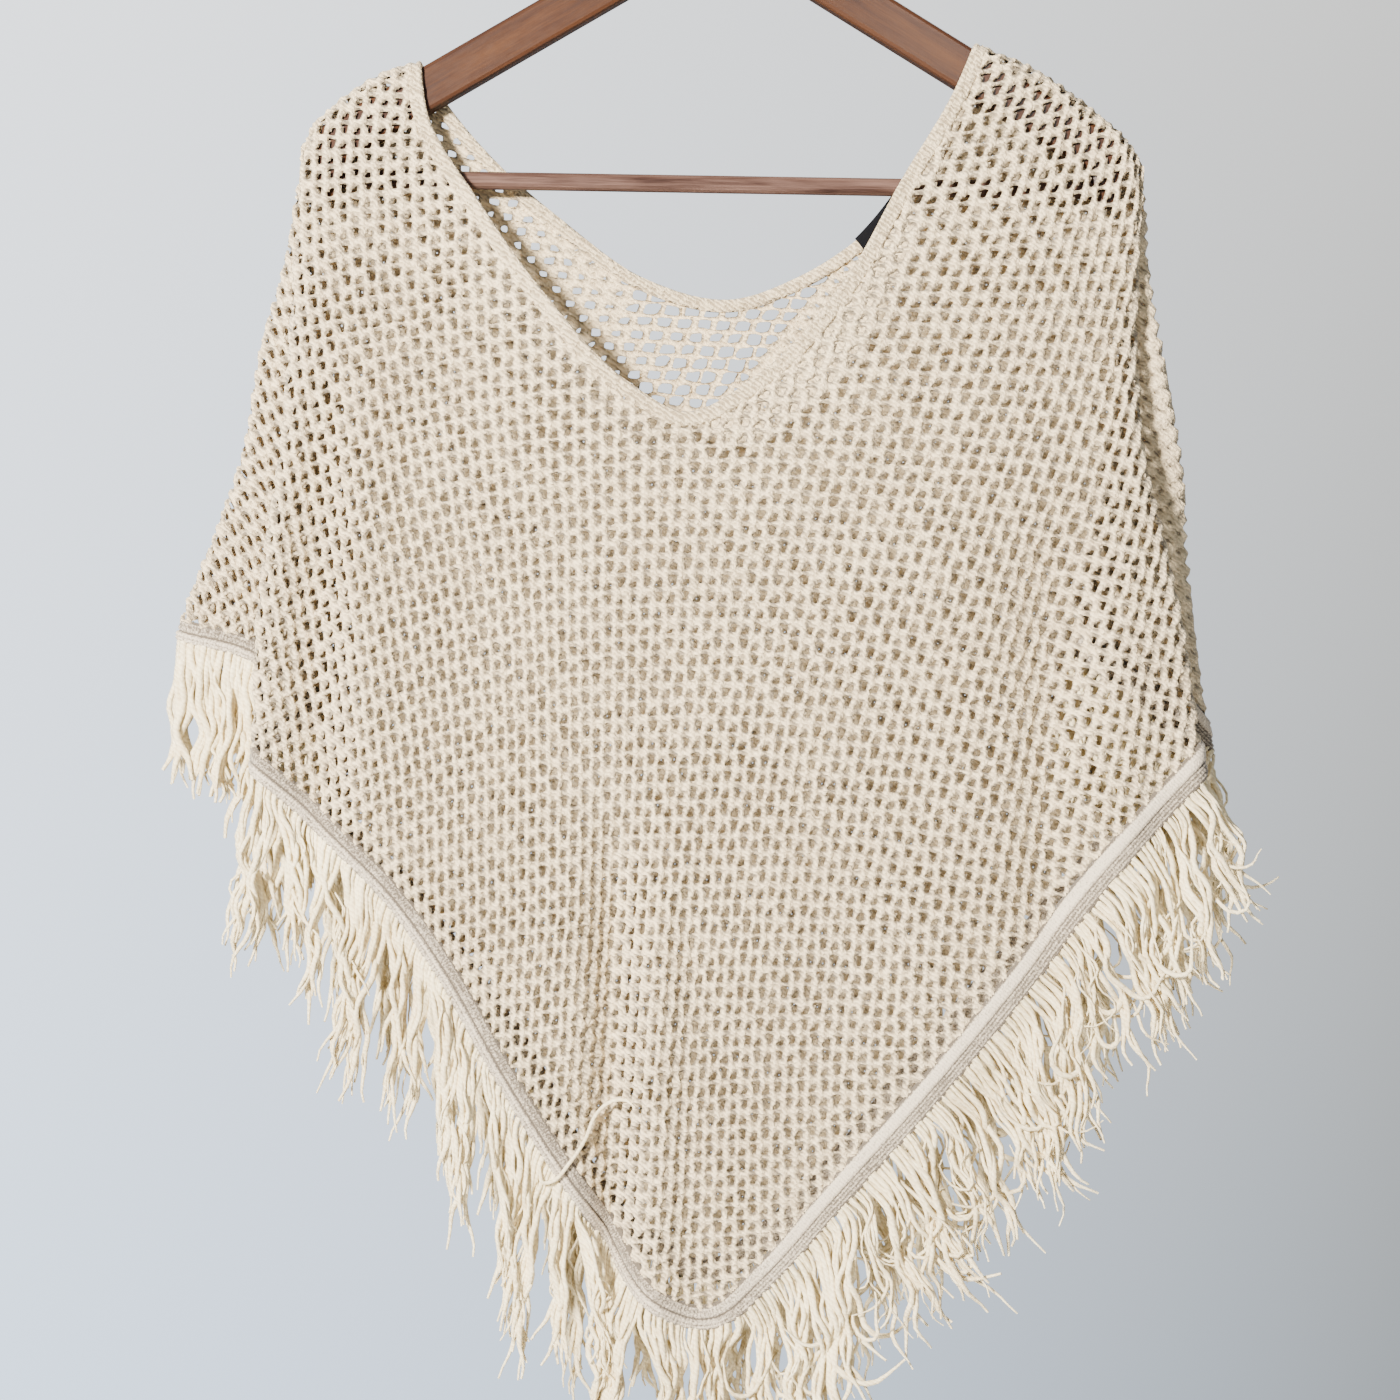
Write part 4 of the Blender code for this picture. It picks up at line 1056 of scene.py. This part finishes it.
class PonchoStage(bpy.types.PropertyGroup):
    distance: number("Camera distance", "From the hanger to the camera", 1.6, 0.5, 5.0,
                     unit="LENGTH")
    lens: number("Lens", "Focal length on a sensor 36 mm wide", 77.6, 20.0, 200.0, unit="CAMERA")
    roll: number("Roll", "Turn of the camera about its view", 0.01640, -0.2, 0.2, subtype="ANGLE")
    backdrop: number("Backdrop", "Brightness of the backdrop", 2.4, 0.0, 10.0)
    backdrop_spread: number("Backdrop spread", "Direction at which the backdrop's colours end",
                            0.24, 0.05, 1.0)
    glow: number("Room light", "Brightness of the room's light", 0.4, 0.0, 10.0)
    floor_height: number("Floor height", "Height of the floor below the rail", -1.55, -3.0, -1.0,
                         unit="LENGTH")


# ---------------------------------------------------------------- operators


class Step:
    """What all operators of the poncho share."""

    def execute(self, context):
        self.build(context.scene)
        return {"FINISHED"}


class PONCHO_OT_camera(Step, bpy.types.Operator):
    """Set up the camera in front of the hanging poncho"""

    bl_idname = "poncho.camera"
    bl_label = "Camera"

    AIM_X, AIM_Z = -0.0053, -0.5009       # where the middle of the view lies, in metres

    def build(self, scene):
        stage = scene.poncho_stage
        data = bpy.data.cameras.new("camera")
        data.sensor_width = 36.0
        data.lens = stage.lens
        data.clip_end = 30.0
        camera = bpy.data.objects.new("camera", data)
        camera.matrix_world = (Matrix.Translation((self.AIM_X, -stage.distance, self.AIM_Z))
                               @ Matrix.Rotation(math.radians(90.0), 4, "X")
                               @ Matrix.Rotation(stage.roll, 4, "Z"))
        scene.collection.objects.link(camera)
        scene.camera = camera


class PONCHO_OT_panels(Step, bpy.types.Operator):
    """Knit the front and back panels"""

    bl_idname = "poncho.panels"
    bl_label = "Knit panels"

    def build(self, scene):
        knit, colours = scene.poncho_knit, scene.poncho_colours
        yarn = (colours.knit, colours.knit_shade, 0.8, colours.knit_painted_shade)
        # The back panel gets less painted shade at its openings than the front.
        cloths = {"front": yarn_cloth("open_knit", *yarn),
                  "back": yarn_cloth("open_knit_back", *yarn, painted_shade_share=1.25)}
        shares = {"front": (knit.pair_share, knit.row_share),
                  "back": (knit.back_pair_share, knit.back_row_share)}
        for name, gauge in GAUGES.items():
            panel = HangingPanel(name)
            for half, word in ((LEFT, "left"), (RIGHT, "right")):
                points, faces, pattern = knit_sheet(panel, half, shares[name], knit.relief / MM,
                                                    **gauge)
                piece = new_mesh_object(f"{name}_knit_{word}", points, faces, cloths[name], pattern)
                finish_piece(piece, "knit", name + "_panel")


class PONCHO_OT_neck_bands(Step, bpy.types.Operator):
    """Rib round the neck opening, front and back"""

    bl_idname = "poncho.neck_bands"
    bl_label = "Neck bands"

    def build(self, scene):
        trim, colours = scene.poncho_trim, scene.poncho_colours
        # Painted shade: the neck band takes darker copies of the knit's colours, so that it looks
        # shaded.
        cloth = yarn_cloth("neck_rib", tint(colours.knit, 0.85), tint(colours.knit_shade, 0.68),
                           speck=1.5)
        for name in PANEL_SHAPES:
            panel = HangingPanel(name)
            stations = len(panel.neck_line())
            places, rises = band_section(NECK_SECTION, trim.neck_thick / MM, np.zeros(stations))
            lines = [panel.neck_line(place * panel.neck_width) for place in places]
            piece = make_band("neck_rib_" + name, panel, lines, rises, cloth, uneven=0.55)
            finish_piece(piece, "rib", "neck_band_" + name)


def hem_width(across, trim):
    """The hem band's width, which grows from the left to the right."""
    left, right = trim.hem_left / MM, trim.hem_right / MM
    return left + (right - left) * smooth((across + 60.0) / 160.0)


def hem_lines(panel, trim, shares):
    """Lines along the hem band, each at a share of its width below its upper edge."""
    path = panel.hem_path
    heading = unit(np.gradient(path, axis=0))
    outwards = np.stack([heading[:, 1], -heading[:, 0]], 1)
    outwards = unit(soften(outwards, 10))
    width = hem_width(path[:, 0], trim)[:, None]
    return [path + outwards * width * share for share in shares]


class PONCHO_OT_hem_bands(Step, bpy.types.Operator):
    """Ribbed tape along the hem, front and back"""

    bl_idname = "poncho.hem_bands"
    bl_label = "Hem bands"

    def build(self, scene):
        trim, colours = scene.poncho_trim, scene.poncho_colours
        cloth = rib_cloth("hem_rib", colours.rib, colours.rib_painted_shade, stitch=1.7)
        for name in PANEL_SHAPES:
            panel = HangingPanel(name)
            toward_right = smooth((panel.hem_path[:, 0] + 40.0) / 110.0)
            places, rises = band_section(HEM_SECTION, trim.hem_thick / MM, toward_right)
            lines = hem_lines(panel, trim, places)
            piece = make_band("hem_rib_" + name, panel, lines, rises, cloth, uneven=0.22)
            finish_piece(piece, "rib", "hem_band_" + name)


class FringeYarns:
    """The yarns of one panel's fringe: where each starts, how it hangs and how thick it is."""

    STATIONS = 20             # points along a yarn
    SIDES = 5
    TOP, BELOW = 0.93, 1.15   # where the yarns start and head for, as shares of the hem band
    UNEVEN_ROOT = 0.9
    LAYER, UNEVEN_LAYER = 0.6, 0.5        # the yarns start in two uneven layers
    LOCK_WIDTH = 19.0         # the yarns cling together in locks of about this width
    LOCK_LEAN, LOCK_REACH = 0.12, 0.09    # how much the locks differ in lean and length
    UNEVEN_REACH = 0.08
    WISPS = 0.16              # share of the yarns that are thin and lively
    LOOPED = 0.2              # share of the yarns at the right that curl up
    # Waves of the yarns: length and strength.
    WAVES = ((52.0, 0.40), (27.0, 0.36), (15.0, 0.12))
    WAY_PHASES = (2.4, 3.7)   # how the waves sideways and outwards differ from lock to lock
    CURL_FROM = 0.45          # share of the length at which the curl starts
    FREE_DEPTH = 28.0         # yarns are held back beyond this distance off the middle plane
    DEEPEST = 38.0            # and none stands further off it than this
    TIP = 0.25                # share of the length that thins out
    TIP_THIN = 0.6

    def __init__(self, panel, trim):
        self.rng = np.random.default_rng(40 + panel.face)
        self.face = panel.face
        self.set_roots(panel, trim)
        self.set_locks()
        self.set_habits(trim)
        heading = self.waved(self.falling())
        self.routes = self.drawn_together(heading)
        self.radii = trim.yarn / MM * self.thickness()

    def set_roots(self, panel, trim):
        """Where the yarns leave the hem band, and whether they are at the right or folded."""
        edge, below = hem_lines(panel, trim, (self.TOP, self.BELOW))
        run = length_along(edge)
        self.count = count = int(run[-1] / (trim.spacing / MM))
        roots = np.linspace(1.0, run[-1] - 1.0, count) + self.rng.normal(0, self.UNEVEN_ROOT, count)
        self.roots = np.sort(roots)
        (across, along), beneath = (
            [np.interp(self.roots, run, part) for part in line.T] for line in (edge, below))
        start, self.normal = panel.place_with_normals(across, along)
        self.leave = unit(panel.place(*beneath) - start)
        layer = np.where(np.arange(count) % 2, self.LAYER, -self.LAYER)
        layer = layer + self.rng.normal(0, self.UNEVEN_LAYER, count)
        self.start = start + self.normal * layer[:, None]
        self.sideways = unit(np.gradient(self.start, axis=0)) * (1.0, 1.0, 0.0)
        self.right = smooth((self.start[:, 0] + 20.0) / 120.0)
        beyond = [across * side - panel.ridge_column(side, along) for side in (LEFT, RIGHT)]
        self.folded = smooth(np.max(beyond, axis=0) / 30.0)

    def set_locks(self):
        """The lock of each yarn, with its middle, lean and extra length."""
        uneven = 0.8 * wander(self.roots, 0 * self.roots, 34.0, 4)
        self.lock = np.floor(self.roots / self.LOCK_WIDTH + uneven)
        self.middle, self.lock_lean, self.lock_reach = np.zeros((3, self.count))
        for number in np.unique(self.lock):
            yarns = self.lock == number
            self.middle[yarns] = self.roots[yarns].mean()
            self.lock_lean[yarns] = self.rng.normal(0, self.LOCK_LEAN)
            self.lock_reach[yarns] = self.rng.normal(0, self.LOCK_REACH)

    def set_habits(self, trim):
        """The length of each yarn, its pull to its lock's middle, and how it curls."""
        rng, count, right, folded = self.rng, self.count, self.right, self.folded
        reach = trim.reach / MM + (trim.side_reach - trim.reach) / MM * folded
        reach = reach * (1.0 + rng.normal(0, self.UNEVEN_REACH, count) + self.lock_reach)
        self.reach = reach[:, None]
        pull = (self.middle - self.roots) * (0.74 - 0.12 * right - 0.25 * folded)
        self.pull = pull * rng.uniform(0.6, 1.1, count)
        self.wisp = rng.random(count) < self.WISPS
        curl = rng.normal(0, 0.3 + 0.25 * right, count)
        looped = rng.random(count) < self.LOOPED * right
        loop = rng.choice((-1, 1), count) * rng.uniform(1.8, 4.4, count)
        self.curl = np.where(looped, loop, curl)
        self.share = np.linspace(0.0, 1.0, self.STATIONS)[None, :]
        self.length = self.reach * self.share

    def falling(self):
        """Direction of the yarns along their length: off the cloth, then down."""
        length, right = self.length, self.right
        sink = smooth((length + 6.0 * (1.0 - right)[:, None]) / (13.0 + 17.0 * right)[:, None])
        lean = np.tanh(self.start[:, 0] / 70.0) * (0.02 + 0.30 * right) * (1.0 - 0.8 * self.folded)
        lean = (lean + self.lock_lean * (1.0 - 0.85 * self.folded))[:, None]
        down = np.stack([lean * np.ones_like(length), 0 * length, -np.ones_like(length)], -1)
        away = self.leave[:, None] * (1.0 - sink)[..., None]
        return unit(away + down * (sink + 0.15)[..., None])

    def waved(self, heading):
        """The directions with the yarns' waves and curls."""
        lively = (1.05 + 0.25 * self.right - 0.4 * self.folded) * np.where(self.wisp, 1.6, 1.0)
        lively = lively[:, None] * smooth(self.share * 5.0 + 0.12)
        for wave, strength in self.WAVES:
            for way, lock_phase in zip((self.sideways, self.normal), self.WAY_PHASES):
                phase = self.lock * lock_phase * 1.9 + self.rng.normal(0, 0.75, self.count)
                pace = self.length * self.rng.uniform(0.85, 1.15, (self.count, 1)) / wave
                swing = np.sin(pace * 2 * math.pi + phase[:, None]) * strength * lively
                heading = heading + way[:, None] * swing[..., None]
        late = smooth((self.share - self.CURL_FROM) / (1.0 - self.CURL_FROM))
        turn = (self.curl[:, None] * late)[..., None]
        return unit(unit(heading) * np.cos(turn) + self.sideways[:, None] * np.sin(turn))

    def drawn_together(self, heading):
        """Middle lines of the yarns, drawn to their locks and held near the cloth."""
        step = self.reach / (self.STATIONS - 1)
        middle = 0.5 * (heading[:, 1:] + heading[:, :-1]) * step[..., None]
        start = self.start[:, None]
        routes = np.concatenate([start, start + np.cumsum(middle, axis=1)], 1)
        drawn = self.pull[:, None] * smooth(self.length / (60.0 - 24.0 * self.right)[:, None])
        routes = routes + drawn[..., None] * self.sideways[:, None]
        deep = routes[..., 1] * self.face
        furthest = np.maximum(deep[:, :1], self.FREE_DEPTH)
        room = np.maximum(self.DEEPEST - furthest, 2.0)
        beyond = room * np.tanh(np.maximum(deep - furthest, 0.0) / room)
        routes[..., 1] = (np.minimum(deep, furthest) + beyond) * self.face
        return routes

    def thickness(self):
        """Thickness of the yarns along their length, as a share of the usual."""
        stout = self.rng.uniform(0.7, 1.3, self.count) * np.where(self.wisp, 0.5, 1.0)
        stout = stout * (1.02 - 0.05 * self.right + 0.33 * self.folded)
        thinning = smooth((self.share - 1.0 + self.TIP) / self.TIP)
        return stout[:, None] * (1.0 - self.TIP_THIN * thinning)


class PONCHO_OT_fringe(Step, bpy.types.Operator):
    """Yarn ends that hang from the hem bands"""

    bl_idname = "poncho.fringe"
    bl_label = "Fringe"

    def build(self, scene):
        trim, colours = scene.poncho_trim, scene.poncho_colours
        cloth = yarn_cloth("fringe_yarn", colours.fringe, colours.fringe_shade, 0.5, rough=0.3)
        for name in PANEL_SHAPES:
            yarns = FringeYarns(HangingPanel(name), trim)
            points, faces = tube_set(yarns.routes, yarns.radii, yarns.SIDES)
            piece = new_mesh_object("fringe_yarns_" + name, points, faces, cloth)
            finish_piece(piece, "yarn", "fringe_" + name)


class PONCHO_OT_loose_yarn(Step, bpy.types.Operator):
    """One stray yarn end that lies over the left hem"""

    bl_idname = "poncho.loose_yarn"
    bl_label = "Loose yarn"

    RADIUS, END_RADIUS = 1.0, 0.4
    LIFT, END_LIFT = 4.8, 1.6     # of its middle off the cloth
    PLACES = ((-84.8, -744.0), (-82.6, -753.3), (-77.4, -752.1), (-69.8, -743.7), (-61.7, -731.6),
              (-55.7, -718.1), (-49.0, -712.2), (-40.8, -710.5), (-35.5, -714.1))

    def build(self, scene):
        colours = scene.poncho_colours
        cloth = yarn_cloth("loose_yarn_wool", colours.fringe, colours.fringe_shade, 0.4, rough=0.3)
        line = resample(through(self.PLACES), LINE_STEP)
        panel = HangingPanel("front")
        route = panel.place(line[:, 0], line[:, 1])
        station = np.arange(len(line))
        full = smooth(np.minimum(station, station[::-1]) / 5.0)
        route[:, 1] = soften(route[:, 1:], 60)[:, 0]
        route[:, 1] -= self.END_LIFT + (self.LIFT - self.END_LIFT) * full
        radii = self.END_RADIUS + (self.RADIUS - self.END_RADIUS) * full
        tube, faces = tube_set(route[None], radii[None], 8)
        finish_piece(new_mesh_object("loose_yarn", tube, faces, cloth), "yarn")


class PONCHO_OT_label(Step, bpy.types.Operator):
    """Small dark ribbon inside the back of the neck"""

    bl_idname = "poncho.label"
    bl_label = "Label"

    START = (74.5, -252.2)    # the end nearer the middle, on the neck edge
    LONG = 36.0
    LEAN = 2.6                # how much nearer the neck edge its other end lies
    # Its section: distances out from the neck edge, and rises off the neck band.
    SECTION = ((-0.9, 0.6), (1.0, 0.8), (4.0, 0.85), (7.0, 0.8), (9.0, 0.6), (9.0, 0.1),
               (4.0, 0.2), (-0.9, 0.1))

    def build(self, scene):
        trim, colours = scene.poncho_trim, scene.poncho_colours
        cloth = ribbon_cloth("label_ribbon", colours.label)
        panel = HangingPanel("back")
        line = panel.neck_line()
        start = np.argmin(np.linalg.norm(line - self.START, axis=1))
        count = int(self.LONG / LINE_STEP)
        places, rises = np.array(self.SECTION).T
        rises = -(trim.neck_thick / MM + rises)[None]
        leaning = np.linspace(0.0, 1.0, count)[:, None]
        stretch = slice(start, start + count)
        lines = [panel.neck_line(place)[stretch] * (1.0 - leaning)
                 + panel.neck_line(place - self.LEAN)[stretch] * leaning for place in places]
        finish_piece(make_band("label_ribbon", panel, lines, rises, cloth), "label", "label")


class PONCHO_OT_hanger(Step, bpy.types.Operator):
    """Finish the hanger's wood, bar and wire hook"""

    bl_idname = "poncho.hanger"
    bl_label = "Hanger"

    def build(self, scene):
        colours = scene.poncho_colours
        finishes = {
            "hanger_arms": lacquered_wood("stained_arms", colours.wood, colours.wood_dark,
                                          roughness=0.6, coat=0.14, across_arm=True),
            "hanger_bar": lacquered_wood("stained_bar", colours.bar, colours.wood_dark,
                                         roughness=0.6, coat=0.12, across_arm=False),
            "hanger_hook": plated_wire("plated_hook", colours.steel),
        }
        for name, material in finishes.items():
            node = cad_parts[name]
            for slot in node.material_slots:
                slot.material = material


class PONCHO_OT_cloth_facts(Step, bpy.types.Operator):
    """Lists the trims of each half of each panel; nothing further is done with the lists"""

    bl_idname = "poncho.cloth_facts"
    bl_label = "Cloth sizes"

    def build(self, scene):
        for name in PANEL_SHAPES:
            for word in ("left", "right"):
                trims = []
                if word == "left":
                    trims = [f"neck_rib_{name}", f"hem_rib_{name}", f"fringe_yarns_{name}"]
                    trims += ["loose_yarn"] if name == "front" else ["label_ribbon"]


class PONCHO_OT_stage(Step, bpy.types.Operator):
    """Floor, soft lights and pale surroundings"""

    bl_idname = "poncho.stage"
    bl_label = "Stage"

    # name, place, target, size, power
    LIGHTS = (
        ("key", (-1.15, -2.2, 0.12), (0.0, 0.0, -0.45), 0.3, 330.0),
        ("fill", (-1.9, -2.1, 0.6), (0.0, 0.0, -0.5), 1.8, 40.0),
        ("rear", (0.9, 2.4, 0.7), (0.0, 0.0, -0.5), 1.8, 45.0),
        ("glint", (0.36, -2.3, 0.42), (0.12, 0.0, -0.14), 0.34, 7.0),
    )
    FLOOR_HALF = 1.3

    def build(self, scene):
        colours, stage = scene.poncho_colours, scene.poncho_stage
        corners = np.array([(-1, -1), (1, -1), (1, 1), (-1, 1)]) * self.FLOOR_HALF / MM
        points = np.column_stack([corners, np.full(4, stage.floor_height / MM)])
        floor = new_mesh_object("floor", points, np.array([(0, 1, 2, 3)]),
                                painted_floor("floor_paint", colours.floor))
        for name, place, target, size, power in self.LIGHTS:
            data = bpy.data.lights.new(name, "AREA")
            data.shape = "RECTANGLE"
            data.size, data.size_y, data.energy = size, size, power
            data.color = colours.light
            light = bpy.data.objects.new(name, data)
            heading = Vector(target) - Vector(place)
            light.rotation_euler = heading.to_track_quat("-Z", "Y").to_euler()
            light.location = place
            scene.collection.objects.link(light)
        self.surroundings(scene, colours, stage)

    @staticmethod
    def surroundings(scene, colours, stage):
        """Soft light from all round, behind which the camera sees the backdrop's colours."""
        world = bpy.data.worlds.new("pale_room")
        scene.world = world
        world.use_nodes = True
        room = Nodes(world.node_tree)
        end = stage.backdrop_spread
        x, _, z = room.parts(room.place("Generated"))
        sideways, upwards = (room.node("ShaderNodeMapRange", {}, {
            "Value": part, "From Min": -end, "From Max": end}) for part in (x, z))
        # Painted light: the backdrop is brightest at the upper left and darkest at the lower right.
        lower = room.mix(colours.wall_low_left, colours.wall_low_right, sideways)
        upper = room.mix(colours.wall_left, colours.wall_right, sideways)
        backdrop = room.tree.nodes["Background"]
        room.fill(backdrop, {"Color": room.mix(lower, upper, upwards), "Strength": stage.backdrop})
        glow = room.node("ShaderNodeBackground", {}, {
            "Color": opaque(colours.glow), "Strength": stage.glow})
        seen = room.node("ShaderNodeLightPath", {}, {}, "Is Camera Ray")
        surface = room.node("ShaderNodeMixShader", {}, {
            0: seen, 1: glow, 2: Value(room, backdrop.outputs[0])})
        room.fill(room.tree.nodes["World Output"], {"Surface": surface})


class PONCHO_PT_panel(bpy.types.Panel):
    """Lists the poncho's steps, sizes and colours"""

    bl_idname = "PONCHO_PT_panel"
    bl_label = "Knit poncho"
    bl_space_type = "VIEW_3D"
    bl_region_type = "UI"
    bl_category = "Poncho"

    def draw(self, context):
        for step in STEPS:
            self.layout.operator(step.bl_idname)
        for name in GROUPS:
            group = getattr(context.scene, name)
            box = self.layout.box()
            for key in group.bl_rna.properties.keys():
                if key not in ("rna_type", "name"):
                    box.prop(group, key)


STEPS = (
    PONCHO_OT_camera, PONCHO_OT_panels, PONCHO_OT_neck_bands, PONCHO_OT_hem_bands, PONCHO_OT_fringe,
    PONCHO_OT_loose_yarn, PONCHO_OT_label, PONCHO_OT_hanger, PONCHO_OT_cloth_facts, PONCHO_OT_stage,
)
GROUPS = {
    "poncho_knit": PonchoKnitSizes,
    "poncho_trim": PonchoTrimSizes,
    "poncho_colours": PonchoColours,
    "poncho_stage": PonchoStage,
}


def register():
    for name, group in GROUPS.items():
        bpy.utils.register_class(group)
        setattr(bpy.types.Scene, name, PointerProperty(type=group))
    for step in STEPS:
        bpy.utils.register_class(step)
    bpy.utils.register_class(PONCHO_PT_panel)


def unregister():
    bpy.utils.unregister_class(PONCHO_PT_panel)
    for step in reversed(STEPS):
        bpy.utils.unregister_class(step)
    for name, group in reversed(GROUPS.items()):
        delattr(bpy.types.Scene, name)
        bpy.utils.unregister_class(group)


def main():
    register()
    for step in STEPS:
        getattr(bpy.ops.poncho, step.bl_idname.split(".")[1])()


if __name__ == "__main__":
    main()
